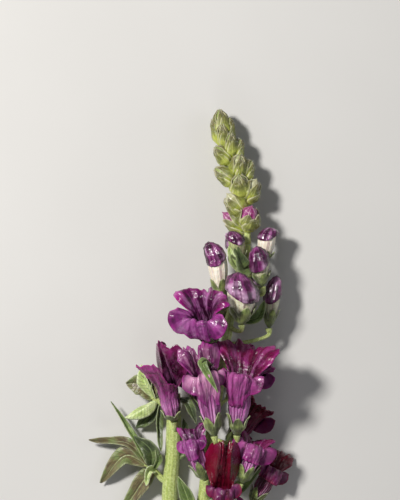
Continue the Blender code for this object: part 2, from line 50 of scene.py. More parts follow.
MM = 0.001
CM = 10.0
SHIFT = Vector((3.684, 43.067, 0.033))
SPIKE_ROUTE = (
    (-6.0, -142.0, 3.6), (-6.6, -128.0, 4.6), (-3.5, -114.0, 6.8), (1.2, -100.0, 9.2),
    (3.2, -84.0, 12.0), (5.2, -68.0, 14.4), (7.2, -54.0, 15.8), (9.6, -40.0, 16.2),
    (12.0, -26.0, 15.4), (15.6, -16.0, 14.2), (18.0, -6.0, 12.8), (18.8, 2.0, 11.8),
)
SPIKE_RADII = (3.5, 3.3, 2.7, 2.5, 2.4, 2.3, 2.2, 2.0, 1.8, 1.6, 1.5, 1.4)
SHOOT_ROUTE = (
    (-6.6, -127.0, 4.8), (-9.8, -116.0, 4.8), (-12.0, -100.0, 5.2), (-10.8, -80.0, 6.4),
    (-10.4, -66.0, 7.6), (-10.0, -57.0, 8.6),
)
SHOOT_RADII = (2.6, 3.0, 3.1, 3.0, 2.8, 2.2)
STEM_SIDES = 48
STEM_RIBS = 12
RIB_DEPTH = 0.018
STEM_STEPS = 10
SWELL_DEPTH = 0.05
SWELL_ALONG = 0.12
SWELL_AROUND = 0.4
LIGHT_REACH = (0.0012, 0.0008, 0.0005)


def between(value, stations, values, pace=float):
    """Values read at their stations, at an even pace from one to the next unless another is given."""
    if value <= stations[0]:
        return values[0]
    for low, high, first, last in zip(stations, stations[1:], values, values[1:]):
        if value <= high:
            return first + (last - first) * pace((value - low) / (high - low))
    return values[-1]


def smooth_route(points, steps):
    """Points along a smooth curve through the given ones."""
    points = [Vector(point) for point in points]
    ends = [2 * points[0] - points[1]] + points + [2 * points[-1] - points[-2]]
    found = []
    for at in range(1, len(ends) - 2):
        before, start, stop, after = ends[at - 1:at + 3]
        for step in range(steps):
            t = step / steps
            found.append(0.5 * (
                2 * start + (stop - before) * t
                + (2 * before - 5 * start + 4 * stop - after) * t * t
                + (3 * start - before - 3 * stop + after) * t ** 3
            ))
    found.append(points[-1])
    return found


def along_route(route):
    """Each point of a route, the way ahead there, its share of the points, and the length run so far."""
    last = len(route) - 1
    run = 0.0
    for at, point in enumerate(route):
        ahead = (route[min(at + 1, last)] - route[max(at - 1, 0)]).normalized()
        run += (point - route[at - 1]).length if at else 0.0
        yield point, ahead, at / last, run


def outward_at(side, back, turn):
    """The way straight out from an axis, at an angle from its back."""
    return side * sin(turn) + back * cos(turn)


def mesh_piece(name, corners, faces, shades):
    """A mesh with its materials, its corners in metres, put into the scene."""
    mesh = bpy.data.meshes.new(name)
    mesh.from_pydata(corners, [], faces)
    for shade in shades:
        mesh.materials.append(shade)
    made = bpy.data.objects.new(name, mesh)
    bpy.context.scene.collection.objects.link(made)
    return made


def sheet(name, spots, faces, shades, wall=0.0):
    """A smooth piece of spots, each its place, its grain and its marks, thickened by a wall if there is one.

    The grain is where the streaks of the material are read. The marks are the share of the way from foot
    to tip, how near a margin is, and one value that the material of the piece explains.
    """
    made = mesh_piece(name, [(place + SHIFT) * MM for place, _, _ in spots], faces, shades)
    for at, layer in ((1, "grain"), (2, "marks")):
        values = [value for spot in spots for value in spot[at]]
        made.data.attributes.new(layer, "FLOAT_VECTOR", "POINT").data.foreach_set("vector", values)
    made.data.shade_smooth()
    if wall:
        thick = made.modifiers.new("wall", "SOLIDIFY")
        thick.thickness = wall * MM
        thick.offset = 0.0
        thick.material_offset = len(shades) - 1
    return made


def grid(start, tall, count, ring=False):
    """Faces over rows of spots numbered from a start, each row closed into a ring or left open."""
    faces = []
    for low in range(start, start + (tall - 1) * count, count):
        for at in range(count if ring else count - 1):
            after = (at + 1) % count
            faces.append((low + at, low + count + at, low + count + after, low + after))
    return faces


def round_skin(name, rows, shades, foot, tip=None, wall=0.0):
    """A piece over rings of spots, closed at its foot, and at its tip if one is given."""
    count = len(rows[0])
    spots = [spot for row in rows for spot in row]
    faces = grid(0, len(rows), count, ring=True)
    faces += [(len(spots), at, (at + 1) % count) for at in range(count)]
    spots.append(foot)
    if tip:
        start = (len(rows) - 1) * count
        faces += [(len(spots), start + (at + 1) % count, start + at) for at in range(count)]
        spots.append(tip)
    return sheet(name, spots, faces, shades, wall)


def rod(name, route, radii, sides, shade, ribs=0):
    """A round stem along a route, with ribs along it; radii are spread evenly over its length."""
    rows = []
    side = Vector((0, 0, 1)).cross(route[1] - route[0]).normalized()
    for point, ahead, share, run in along_route(route):
        side = (side - ahead * side.dot(ahead)).normalized()
        other = side.cross(ahead)
        radius = between(share * (len(radii) - 1), range(len(radii)), radii)
        row = []
        for corner in range(sides):
            turn = tau * corner / sides
            rib = cos(ribs * turn) if ribs else 0.0
            place = point * SWELL_ALONG + Vector((cos(turn), sin(turn), 0)) * SWELL_AROUND
            reach = radius * (1 + RIB_DEPTH * rib + SWELL_DEPTH * noise(place))
            place = point + outward_at(other, side, turn) * reach
            row.append((place, (cos(turn), sin(turn), run / CM), (share, 0.0, rib)))
        rows.append(row)
    foot = (route[0], (0, 0, 0), (0.0, 1.0, 0.0))
    tip = (route[-1], (0, 0, run / CM), (1.0, 1.0, 0.0))
    return round_skin(name, rows, [shade], foot, tip)


def join(tree, socket, value):
    """Gives a socket a value, or joins another node's output on to it."""
    if isinstance(value, bpy.types.NodeSocket):
        tree.links.new(value, socket)
    elif isinstance(value, tuple) and len(value) == 3 and socket.type == "RGBA":
        socket.default_value = (*value, 1.0)
    else:
        socket.default_value = value


def node(tree, kind, values=(), **settings):
    """A new node with its settings and its inputs."""
    made = tree.nodes.new("ShaderNode" + kind)
    for setting, value in settings.items():
        setattr(made, setting, value)
    for socket, value in dict(values).items():
        join(tree, made.inputs[socket], value)
    return made


def ramp(tree, value, *stops):
    """Colours blended along a value, each stop a position and a colour."""
    made = node(tree, "ValToRGB", {"Fac": value})
    band = made.color_ramp
    band.elements[0].position = stops[0][0]
    band.elements[0].color = (*stops[0][1], 1.0)
    band.elements[1].position = stops[-1][0]
    band.elements[1].color = (*stops[-1][1], 1.0)
    for position, colour in stops[1:-1]:
        band.elements.new(position).color = (*colour, 1.0)
    return made.outputs["Color"]


def mixed(tree, share, first, second):
    """A share of the second colour over the first."""
    made = node(tree, "Mix", data_type="RGBA")
    for at, value in ((0, share), (6, first), (7, second)):
        join(tree, made.inputs[at], value)
    return made.outputs[2]


def math_of(tree, sort, first, second=0.0):
    """The result of a sum of two values, or of one where the sort takes no more."""
    return node(tree, "Math", {0: first, 1: second}, operation=sort).outputs[0]


def times(tree, first, second):
    """The product of two values."""
    return math_of(tree, "MULTIPLY", first, second)


def spread(tree, value, low, high, start=0.0, stop=1.0):
    """A value carried from one range to another and held inside it."""
    values = {"Value": value, "From Min": low, "From Max": high, "To Min": start, "To Max": stop}
    return node(tree, "MapRange", values).outputs["Result"]


def layered(tree, colour, *layers):
    """A colour under others, each laid on as its value runs from low to high, up to its share."""
    for value, low, high, share, over in layers:
        colour = mixed(tree, spread(tree, value, low, high, 0.0, share), colour, over)
    return colour


def streaks(tree, around, along, detail=3.0):
    """Noise drawn out along the grain of a piece."""
    grain = node(tree, "Attribute", attribute_name="grain").outputs["Vector"]
    drawn = node(tree, "Mapping", {"Vector": grain, "Scale": (around, around, along)}).outputs["Vector"]
    return node(tree, "TexNoise", {"Vector": drawn, "Scale": 1.0, "Detail": detail}).outputs["Fac"]


def blotches(tree, scale, detail=4.0):
    """Noise that is even in all directions; the scale is in blotches a metre."""
    place = node(tree, "TexCoord").outputs["Object"]
    return node(tree, "TexNoise", {"Vector": place, "Scale": scale, "Detail": detail}).outputs["Fac"]


def marks(tree):
    """The three marks of a piece as separate values."""
    vector = node(tree, "Attribute", attribute_name="marks").outputs["Vector"]
    return node(tree, "SeparateXYZ", {"Vector": vector}).outputs


def plant_skin(name, roughness, soft, sheen, **coat):
    """A living surface that lets a little light through: a material and its node tree."""
    made = bpy.data.materials.new(name)
    made.use_nodes = True
    sockets = made.node_tree.nodes["Principled BSDF"].inputs
    sockets["Roughness"].default_value = roughness
    sockets["Subsurface Weight"].default_value = soft
    sockets["Subsurface Radius"].default_value = LIGHT_REACH
    sockets["Sheen Weight"].default_value = sheen
    for part, value in coat.items():
        sockets["Coat " + part].default_value = value
    return made, made.node_tree


def painted(made, colour, *bumps):
    """The material with its colour, and with bumps one over the other, each a height and its depth."""
    tree = made.node_tree
    shader = tree.nodes["Principled BSDF"]
    join(tree, shader.inputs["Base Color"], colour)
    below = None
    for height, depth in bumps:
        bump = node(tree, "Bump", {"Height": height, "Distance": depth * MM, "Strength": 1.0})
        if below is not None:
            tree.links.new(below, bump.inputs["Normal"])
        below = bump.outputs["Normal"]
    if below is not None:
        tree.links.new(below, shader.inputs["Normal"])
    return made


def stem_shade():
    """Pale yellow-green with small specks and a creamy pith at the cut, and painted shade between the ribs.
    """
    made, tree = plant_skin("stem_skin", 0.42, 0.15, 0.1)
    lines = streaks(tree, 5.0, 0.35)
    fine = streaks(tree, 22.0, 1.2)
    specks = blotches(tree, 1300.0)
    _, cut, rib = marks(tree)
    colour = ramp(
        tree, lines,
        (0.30, (0.34, 0.44, 0.07)), (0.46, (0.50, 0.60, 0.15)), (0.56, (0.60, 0.68, 0.24)),
        (0.72, (0.72, 0.76, 0.42)),
    )
    colour = layered(
        tree, colour,
        # The rib layer is painted shade: darker green in the grooves between the ribs.
        (rib, 0.6, -1.0, 0.3, (0.28, 0.38, 0.08)),
        (fine, 0.4, 0.75, 0.35, (0.66, 0.70, 0.40)),
        (specks, 0.5, 0.66, 0.55, (0.24, 0.30, 0.08)),
        (specks, 0.46, 0.34, 0.4, (0.80, 0.84, 0.50)),
        (cut, 0.6, 0.9, 1.0, (0.62, 0.62, 0.40)),
    )
    return painted(made, colour, (fine, 0.25), (blotches(tree, 700.0), 0.08))


STEM_SHADE = stem_shade()
STEMS = (("spike_axis", SPIKE_ROUTE, SPIKE_RADII), ("side_shoot", SHOOT_ROUTE, SHOOT_RADII))
for name, route, radii in STEMS:
    stem = rod(name, smooth_route(route, STEM_STEPS), radii, STEM_SIDES, STEM_SHADE, STEM_RIBS)
    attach(stem, "root")
    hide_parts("stem")

# The open blooms: petals grown together into one tube, which opens into an upper lip of two lobes and a
# lower lip of three, turned back over the tube. They are thin, moist and deep purple, mauve on the lower
# lip and the tube, and crimson inside, painted near black deep in the throat as painted shade.

PETAL_WALL = 0.35
ROUND = 132
TUBE_ROWS = 16
LIP_ROWS = 24
TUBE_STATIONS = (0.0, 0.16, 0.55, 1.0)
TUBE_SIDE = (1.4, 3.0, 4.6, 5.2)
TUBE_BACK = (1.4, 2.5, 3.6, 4.4)
TUBE_BELLY = (1.5, 3.5, 4.6, 5.2)
MOUTH_CORNER = 86
CORNER_LEAN = (15, 60)
UPPER_CURLED = 0.9
ROLL_FROM = 0.7
UPPER_CORNER = (50, 35)
LOWER_CORNER = (115, -30)
SIDE_LOBE = (112, 26)
LOBE_STANDS = 15
UPPER_NOTCH = (45, 20)
LOWER_NOTCH = (104, 18)
MIDDLE_LOBE = (120, 30)
LIP_ANGLES = (0, 12, 26, 44, 62, 76, 85, 94, 106, 120, 132, 140, 148, 162, 180)
LIP_REACH = (0.60, 0.84, 0.98, 1.0, 0.94, 0.70, 0.14, 0.66, 0.92, 1.0, 0.90, 0.70, 0.90, 1.0, 1.0)
LOBE_MIDDLES = (34, 119, 180)
LOBE_HALF = 28
LOBE_CUPPED = 0.7
PETAL_FOOT = 0.4
PALATE_ANGLE = (24, 17)
PALATE_REACH = (0.3, 0.28)
LIP_MARGIN = (0.8, 0.2)
BELLY_SIDE = (-0.3, 0.6)
SWELLS = (3, 5)
PLEATS = (9, 14, 21)
FRILLS = (8, 13, 19, 27)
PLEAT_DEPTH = 0.75
JAGGED_UPPER = 0.08
JAGGED_LOWER = 0.03
FRILL_DEPTH = 10
LOOSE = 1.3
CRUMPLE = 0.32
BROAD_CRUMPLES = 0.16
MIDDLE_CRUMPLES = 0.4
TUBE_CRUMPLES = 0.6
FINE_CRUMPLES = 0.75

# A bloom's shape: width is the scale of its tube, and upper and lower are the reach of its lips. A lip leans
# out by its gape at its foot and by its curl more at its tip, in degrees, and turned_by is where the lower
# one has done so. The lobes are how deeply a lip is notched, and raised and sides how far the left and the
# right side lobe stand up and reach. Flare leans a raised lobe outward, middle is the reach of the middle
# one, fan narrows the upper lip, roll turns its tip, and palate is the hump of the lower lip. Wave and frill
# are how much the lips ruffle and how ragged their margins are, and sepals is the length of the sepals.
STANDARD = {
    "width": 0.85, "upper": 13.0, "lower": 14.5, "gape_up": -10, "curl_up": 100, "gape_low": -30,
    "curl_low": 215, "turned_by": 0.42, "lobes_up": 1.0, "lobes_low": 0.35, "raised": (0.0, 0.0),
    "sides": (1.0, 1.0), "middle": 1.0, "flare": 60, "fan": 0.9, "roll": 50, "palate": 1.6, "wave": 0.6,
    "frill": 1.0, "sepals": 1.0, "seed": 1, "tint": "purple",
}

# Each bloom: foot of the petals, throat, the way its belly faces, where its stalk leaves the stem
BLOOMS = {
    "bloom_01": (
        (4.6, -36.3, 17.7), (1.2, -26.5, 28.3), (-0.4, -0.6, 0.7), (8.6, -44.0, 16.0),
        {"width": 0.84, "lower": 12.5, "gape_up": 15, "curl_up": 60, "lobes_low": 1.0, "lobes_up": 0.7,
         "raised": (0.9, 0.6), "sides": (0.9, 0.9), "roll": 150, "fan": 1.1, "wave": 0.4, "frill": 0.4,
         "seed": 3, "tint": "violet"},
    ),
    "bloom_02": (
        (5.4, -71.5, 26.2), (2.2, -50.5, 29.5), (0.35, 0, 1), (4.6, -78.0, 14.0),
        {"width": 0.84, "upper": 14.5, "lower": 19.0, "gape_up": 0, "curl_up": 15, "roll": 40,
         "curl_low": 226, "raised": (0.25, 0.0), "sides": (0.5, 0.36), "lobes_low": 0.2, "fan": 0.75,
         "sepals": 0.75, "seed": 5, "tint": "mauve"},
    ),
    "bloom_03": (
        (14.6, -71.5, 21.0), (16.2, -50.5, 27.0), (-0.35, 0, 1), (5.2, -75.0, 14.0),
        {"width": 0.86, "upper": 16.0, "lower": 19.0, "gape_up": 20, "curl_up": 30, "curl_low": 226,
         "lobes_up": 0.5, "lobes_low": 0.2, "raised": (0.2, 0.1), "sides": (0.36, 0.5), "fan": 1.05,
         "sepals": 0.75, "seed": 7},
    ),
    "bloom_04": (
        (-10.4, -66.5, 14.0), (-12.6, -54.5, 19.0), (-0.75, 0, 0.7), (-10.2, -72.0, 8.0),
        {"width": 0.8, "upper": 19.0, "lower": 16.0, "gape_up": -4, "curl_up": -6, "gape_low": 5,
         "curl_low": 22, "raised": (1.0, 0.0), "flare": 4, "sides": (0.3, 0.3), "middle": 0.95,
         "lobes_low": 0.3, "roll": 20, "fan": 0.7, "palate": 0.0, "wave": 1.1, "frill": 1.6,
         "sepals": 0.4, "seed": 9, "tint": "wine"},
    ),
    "bloom_05": (
        (1.6, -89.5, 19.5), (-2.8, -76.0, 20.5), (-0.6, 0, 1), (2.2, -97.0, 10.5),
        {"width": 0.68, "upper": 10.0, "lower": 11.0, "sides": (0.55, 0.55), "fan": 0.75, "seed": 11,
         "tint": "violet"},
    ),
    "bloom_06": (
        (16.5, -90.8, 18.75), (21.0, -78.8, 17.75), (0.2, 0, 1), (2.8, -103.0, 9.2),
        {"width": 0.72, "upper": 9.0, "lower": 9.5, "sepals": 1.1, "seed": 13},
    ),
    "bloom_07": (
        (7.8, -107.0, 22.0), (8.8, -94.0, 25.0), (0.1, 0, 1), (0.0, -113.0, 7.6),
        {"width": 0.72, "upper": 19.4, "lower": 6.0, "gape_up": -15, "curl_up": 15, "lobes_up": 0.4,
         "fan": 0.4, "roll": 20, "seed": 15, "tint": "crimson"},
    ),
    "bloom_08": (
        (21.0, -100.0, 8.1), (28.5, -87.5, 8.4), (0.5, 0, 1), (2.0, -107.0, 8.0),
        {"width": 0.66, "upper": 11.0, "lower": 8.0, "gape_up": -5, "curl_up": 60, "seed": 17,
         "tint": "crimson"},
    ),
    "bloom_09": (
        (14.5, -120.0, 17.0), (20.0, -106.5, 18.5), (0.1, 0, 1), (-3.0, -117.0, 6.5),
        {"width": 0.68, "upper": 10.0, "lower": 8.5, "seed": 19},
    ),
    "bloom_10": (
        (3.0, -64.0, 8.8), (-1.5, -48.5, 7.4), (-0.2, 0, -1), (5.6, -70.0, 12.6),
        {"width": 0.8, "upper": 10.0, "lower": 10.0, "seed": 21},
    ),
    "bloom_11": (
        (12.6, -57.0, 9.0), (21.5, -47.0, 7.4), (0.3, 0, -1), (7.8, -61.0, 13.6),
        {"width": 0.78, "upper": 8.0, "lower": 10.0, "curl_up": 70, "seed": 23},
    ),
    "bloom_12": (
        (11.6, -77.5, 7.2), (21.0, -65.5, 6.8), (0.3, 0, -1), (4.4, -84.0, 10.0),
        {"width": 0.76, "upper": 7.0, "lower": 9.0, "curl_up": 60, "seed": 25, "tint": "crimson"},
    ),
}


def eased(value):
    """A share that starts and stops gently, held between 0 and 1."""
    value = min(1.0, max(0.0, value))
    return value * value * (3.0 - 2.0 * value)


def rounded(value, stations, values):
    """Values read at their stations, with no corners between them."""
    return between(value, stations, values, eased)


def climb(value, start, run):
    """Goes gently from 0 to 1 as a value runs on from a start, or back from it if the run is below 0."""
    return eased((value - start) / run)


def hill(value, middle, width):
    """A smooth hill one high, at a middle."""
    return exp(-((value - middle) / width) ** 2)


def floret_axes(base, tip, belly):
    """Side, back and forward directions of a floret whose belly faces the given way."""
    belly = Vector(belly)
    ahead = (tip - base).normalized()
    back = -(belly - ahead * belly.dot(ahead)).normalized()
    return back.cross(ahead), back, ahead


def tube_point(turn, along, scale):
    """Cross-section of the petal tube: side and back offsets at an angle from the bloom's back."""
    profile = TUBE_BACK if cos(turn) > 0 else TUBE_BELLY
    side = rounded(along, TUBE_STATIONS, TUBE_SIDE) * sin(turn)
    back = rounded(along, TUBE_STATIONS, profile) * cos(turn)
    return side * scale, back * scale


def lip_tilt(angle, along, shape, raised):
    """How far a lip leans outward from straight ahead: the lower one turns back along the tube."""
    if angle < MOUTH_CORNER:
        lean = shape["gape_up"] + shape["curl_up"] * eased(along / UPPER_CURLED)
        lean += shape["roll"] * climb(along, ROLL_FROM, 1 - ROLL_FROM)
        corner = climb(angle, *UPPER_CORNER)
    else:
        lean = shape["gape_low"] + shape["curl_low"] * eased(along / shape["turned_by"])
        lean += (LOBE_STANDS + shape["flare"] * along - lean) * raised * hill(angle, *SIDE_LOBE)
        corner = climb(angle, *LOWER_CORNER)
    return radians(lean * (1 - corner) + (CORNER_LEAN[0] + CORNER_LEAN[1] * along) * corner)


def lip_reach(angle, shape, side_lobe):
    """How far a lip reaches at an angle from the bloom's back, notched between its lobes."""
    notch = 1 - rounded(angle, LIP_ANGLES, LIP_REACH)
    if angle < MOUTH_CORNER:
        depth = shape["lobes_up"] + (1 - shape["lobes_up"]) * climb(angle, *UPPER_NOTCH)
        return shape["upper"] * (1 - notch * depth)
    depth = 1 + (shape["lobes_low"] - 1) * climb(angle, *LOWER_NOTCH)
    share = side_lobe + (shape["middle"] - side_lobe) * climb(angle, *MIDDLE_LOBE)
    return shape["lower"] * (1 - notch * depth) * share


def phases_of(chance, orders):
    """A random phase for each order of the waves round a piece."""
    return [chance.uniform(0, tau) for _ in orders]


def waves(turn, orders, phases):
    """Waves round a piece that close on themselves."""
    return sum(sin(order * turn + phase) for order, phase in zip(orders, phases)) / len(orders)


def grain_at(turn, along):
    """Where the streaks of a round piece are read, at an angle and at millimetres along it."""
    return sin(turn), cos(turn), along / CM


def lip_column(rim, turn, axes, length, phases, shape):
    """The spots of a lip from the rim of the tube to the margin, at one angle."""
    side, back, ahead = axes
    swell, frill, pleat = phases
    scale = shape["width"]
    angle = abs(degrees(turn))
    upper = angle < MOUTH_CORNER
    hand = 0 if turn < 0 else 1
    raised = shape["raised"][hand]
    jagged = (JAGGED_UPPER if upper else JAGGED_LOWER) * shape["frill"]
    reach = lip_reach(angle, shape, shape["sides"][hand]) * (1 + jagged * waves(turn, FRILLS, frill))
    outward = outward_at(side, back, turn * shape["fan"] if upper else turn)
    off = min(abs(angle - middle) for middle in LOBE_MIDDLES) / LOBE_HALF
    hump = 0.0 if upper else shape["palate"] * hill(180 - angle, *PALATE_ANGLE)
    swelling = sin(SWELLS[0] * turn + swell[0]) + 0.6 * sin(SWELLS[1] * turn + swell[1])
    frills = waves(turn, FRILLS, pleat + frill[:1])
    spot = rim.copy()
    column = []
    for row in range(LIP_ROWS):
        tilt = lip_tilt(angle, (row + 0.5) / LIP_ROWS, shape, raised)
        spot += (ahead * cos(tilt) + outward * sin(tilt)) * (reach / LIP_ROWS)
        t = (row + 1) / LIP_ROWS
        tilt = lip_tilt(angle, t, shape, raised)
        ruffle = shape["wave"] * swelling * t + FRILL_DEPTH * jagged * scale * frills * t ** 3
        crumples = noise(spot * BROAD_CRUMPLES) + 0.5 * noise(spot * MIDDLE_CRUMPLES)
        ruffle += LOOSE * scale * t * crumples + CRUMPLE * noise(spot * FINE_CRUMPLES)
        ruffle -= LOBE_CUPPED * scale * t * min(1.2, off) ** 2
        place = spot + (outward * cos(tilt) - ahead * sin(tilt)) * ruffle
        place += back * hump * hill(t, *PALATE_REACH)
        parts = (0.5 + t / 2, climb(t, *LIP_MARGIN), 0.0 if upper else 1.0)
        column.append((place, grain_at(turn, length + reach * t), parts))
    return column


def petals(name, base, mouth, belly, shades, shape):
    """The petal tube and its two lips as one thin cup, pleated at its foot and frilled at its lips."""
    base, mouth = Vector(base), Vector(mouth)
    axes = side, back, ahead = floret_axes(base, mouth, belly)
    length = (mouth - base).length
    scale = shape["width"]
    chance = random.Random(shape["seed"])
    phases = [phases_of(chance, orders) for orders in (SWELLS, FRILLS, PLEATS)]
    turns = [tau * column / ROUND - pi for column in range(ROUND)]
    rows = []
    for at in range(TUBE_ROWS):
        along = at / (TUBE_ROWS - 1)
        row = []
        for turn in turns:
            x, y = tube_point(turn, along, scale)
            place = base + side * x + back * y + ahead * along * length
            bulge = sin(pi * min(1.0, along * 1.3)) ** 0.5
            pleated = waves(turn, PLEATS, phases[2]) * PLEAT_DEPTH * scale * bulge
            pleated += CRUMPLE * eased(along * 3) * noise(place * TUBE_CRUMPLES)
            place += outward_at(side, back, turn) * pleated
            belly_side = climb(-cos(turn), *BELLY_SIDE)
            row.append((place, grain_at(turn, along * length), (along / 2, 0.0, belly_side)))
        rows.append(row)
    columns = [lip_column(rim[0], turn, axes, length, phases, shape) for rim, turn in zip(rows[-1], turns)]
    foot = (base - ahead * PETAL_FOOT, (0, 0, 0), (0.0, 0.0, 0.5))
    return round_skin(name, rows + list(zip(*columns)), shades, foot, wall=PETAL_WALL)


def petal_shade(name, tube, upper_lip, lower_lip, pale, dark, edge):
    """Petal skin: the lists are colours from foot to throat, or from throat to margin."""
    made, tree = plant_skin(name, 0.3, 0.1, 0.03, Weight=0.22, Roughness=0.14)
    along, margin, lower = marks(tree)
    broad = streaks(tree, 3.0, 0.7)
    veins = streaks(tree, 15.0, 0.9, 2.0)
    patches = blotches(tree, 260.0)
    lip = spread(tree, along, 0.5, 1.0)
    lip = mixed(
        tree, lower, ramp(tree, lip, *zip((0.0, 0.6, 1.0), upper_lip)),
        ramp(tree, lip, *zip((0.0, 0.35, 0.7, 1.0), lower_lip)),
    )
    colour = ramp(tree, spread(tree, along, 0.0, 0.5), *zip((0.0, 0.45, 1.0), tube))
    faint = math_of(tree, "SUBTRACT", 0.6, times(tree, along, 0.5))
    veined = times(tree, spread(tree, veins, 0.5, 0.34), faint)
    # A painted highlight: whitish lilac streaks on the wrinkled foot of the tube.
    foot_highlight = times(tree, spread(tree, along, 0.42, 0.15), spread(tree, veins, 0.52, 0.62, 0.0, 0.7))
    edged = times(tree, margin, spread(tree, patches, 0.4, 0.6, 0.2, 0.9))
    colour = layered(
        tree, colour,
        (along, 0.48, 0.56, 1.0, lip),
        # The pale and the dark broad streaks are partly the petals' own streaks, partly painted highlight and
        # painted crease shade.
        (broad, 0.48, 0.64, 0.5, pale),
        (broad, 0.5, 0.36, 0.75, dark),
        (veined, 0.0, 1.0, 1.0, dark),
        (patches, 0.5, 0.7, 0.4, edge),
        (foot_highlight, 0.0, 1.0, 1.0, (0.74, 0.44, 0.68)),
        (edged, 0.0, 1.0, 1.0, edge),
    )
    sockets = tree.nodes["Principled BSDF"].inputs
    sockets["Specular IOR Level"].default_value = 0.35
    sockets["Sheen Tint"].default_value = (0.9, 0.6, 0.95, 1.0)
    gloss = math_of(tree, "ADD", spread(tree, patches, 0.3, 0.7, 0.16, 0.34), times(tree, lower, 0.15))
    join(tree, sockets["Roughness"], gloss)
    return painted(made, colour, (veins, 0.2), (patches, 0.8), (streaks(tree, 5.0, 2.2), 0.8))


# Colours of the outside and of the inside of each tint: tube, upper lip, lower lip, then the pale streaks,
# the dark ones and the margin. The pale and the dark streaks are partly the petals' own streaks and partly
# painted highlight and painted shade in the creases. The lips of most blooms are the same colours underneath.
UNDERNEATH = ((0.12, 0.010, 0.08), (0.14, 0.014, 0.10), (0.14, 0.014, 0.10), (0.11, 0.008, 0.07))
# The near-black insides of the tubes and the dark throat ends of the lip ramps below are painted shade in the
# throat.
PETAL_COLOURS = {
    "purple": (
        (
            "petal_outside",
            ((0.60, 0.24, 0.50), (0.46, 0.11, 0.36), (0.16, 0.012, 0.10)),
            ((0.09, 0.004, 0.055), (0.13, 0.004, 0.07), (0.22, 0.005, 0.11)),
            UNDERNEATH,
            (0.50, 0.17, 0.42), (0.03, 0.001, 0.02), (0.38, 0.02, 0.24),
        ),
        (
            "petal_inside",
            ((0.03, 0.002, 0.008), (0.03, 0.002, 0.008), (0.035, 0.002, 0.012)),
            ((0.035, 0.001, 0.010), (0.12, 0.002, 0.035), (0.22, 0.004, 0.075)),
            ((0.10, 0.008, 0.06), (0.40, 0.09, 0.29), (0.30, 0.05, 0.21), (0.11, 0.006, 0.07)),
            (0.46, 0.11, 0.36), (0.03, 0.001, 0.015), (0.36, 0.02, 0.22),
        ),
    ),
    "violet": (
        (
            "violet_outside",
            ((0.60, 0.24, 0.50), (0.46, 0.11, 0.36), (0.16, 0.012, 0.12)),
            ((0.07, 0.004, 0.055), (0.08, 0.004, 0.06), (0.38, 0.006, 0.22)),
            UNDERNEATH,
            (0.50, 0.20, 0.42), (0.03, 0.001, 0.02), (0.34, 0.03, 0.22),
        ),
        (
            "violet_inside",
            ((0.03, 0.002, 0.012), (0.03, 0.002, 0.012), (0.035, 0.002, 0.016)),
            ((0.030, 0.001, 0.018), (0.08, 0.002, 0.05), (0.38, 0.008, 0.22)),
            ((0.12, 0.008, 0.09), (0.32, 0.05, 0.26), (0.20, 0.018, 0.16), (0.09, 0.003, 0.065)),
            (0.60, 0.24, 0.54), (0.025, 0.001, 0.018), (0.42, 0.03, 0.30),
        ),
    ),
    "wine": (
        (
            "wine_outside",
            ((0.60, 0.24, 0.50), (0.50, 0.14, 0.40), (0.20, 0.015, 0.13)),
            ((0.07, 0.002, 0.035), (0.11, 0.003, 0.06), (0.18, 0.005, 0.10)),
            ((0.14, 0.010, 0.09), (0.20, 0.014, 0.12), (0.26, 0.016, 0.14), (0.28, 0.03, 0.18)),
            (0.46, 0.12, 0.36), (0.03, 0.001, 0.015), (0.38, 0.015, 0.22),
        ),
        (
            "wine_inside",
            ((0.02, 0.001, 0.006), (0.02, 0.001, 0.006), (0.025, 0.001, 0.008)),
            ((0.010, 0.0005, 0.003), (0.022, 0.0005, 0.007), (0.13, 0.003, 0.05)),
            ((0.03, 0.001, 0.015), (0.12, 0.008, 0.07), (0.18, 0.015, 0.11), (0.24, 0.04, 0.17)),
            (0.42, 0.12, 0.32), (0.03, 0.001, 0.015), (0.30, 0.02, 0.17),
        ),
    ),
    "mauve": (
        (
            "mauve_outside",
            ((0.60, 0.24, 0.50), (0.50, 0.13, 0.40), (0.16, 0.012, 0.10)),
            ((0.09, 0.004, 0.055), (0.12, 0.005, 0.075), (0.20, 0.006, 0.12)),
            UNDERNEATH,
            (0.60, 0.26, 0.50), (0.04, 0.001, 0.025), (0.28, 0.010, 0.17),
        ),
        (
            "mauve_inside",
            ((0.03, 0.002, 0.008), (0.03, 0.002, 0.008), (0.035, 0.002, 0.012)),
            ((0.040, 0.002, 0.012), (0.10, 0.008, 0.06), (0.28, 0.08, 0.21)),
            ((0.14, 0.02, 0.09), (0.66, 0.30, 0.50), (0.54, 0.20, 0.40), (0.12, 0.01, 0.08)),
            (0.66, 0.34, 0.52), (0.10, 0.006, 0.07), (0.34, 0.03, 0.24),
        ),
    ),
    "crimson": (
        (
            "crimson_outside",
            ((0.30, 0.06, 0.20), (0.14, 0.01, 0.06), (0.10, 0.003, 0.025)),
            ((0.10, 0.002, 0.012), (0.14, 0.001, 0.014), (0.15, 0.002, 0.02)),
            ((0.10, 0.003, 0.05), (0.13, 0.006, 0.08), (0.13, 0.006, 0.08), (0.10, 0.004, 0.06)),
            (0.22, 0.004, 0.04), (0.04, 0.001, 0.006), (0.20, 0.003, 0.05),
        ),
        (
            "crimson_inside",
            ((0.03, 0.002, 0.005), (0.04, 0.002, 0.005), (0.05, 0.001, 0.006)),
            ((0.07, 0.001, 0.006), (0.14, 0.001, 0.012), (0.16, 0.002, 0.02)),
            ((0.10, 0.003, 0.05), (0.20, 0.03, 0.14), (0.16, 0.02, 0.11), (0.12, 0.004, 0.06)),
            (0.22, 0.003, 0.03), (0.04, 0.001, 0.005), (0.20, 0.002, 0.04),
        ),
    ),
}
PETAL_SHADES = {
    tint: [petal_shade(*colours) for colours in sides] for tint, sides in PETAL_COLOURS.items()
}
for name, (base, mouth, belly, _, change) in BLOOMS.items():
    shape = {**STANDARD, **change}
    bloom = petals(name + "_corolla", base, mouth, belly, PETAL_SHADES[shape["tint"]], shape)
    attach(bloom, "root")
    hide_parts(name + "_petals")

# The calyces: five green sepals on a small cup hold each bloom, and a short stalk carries the cup from the
# stem. The sepals are matte and faintly veined, with whitish margins.

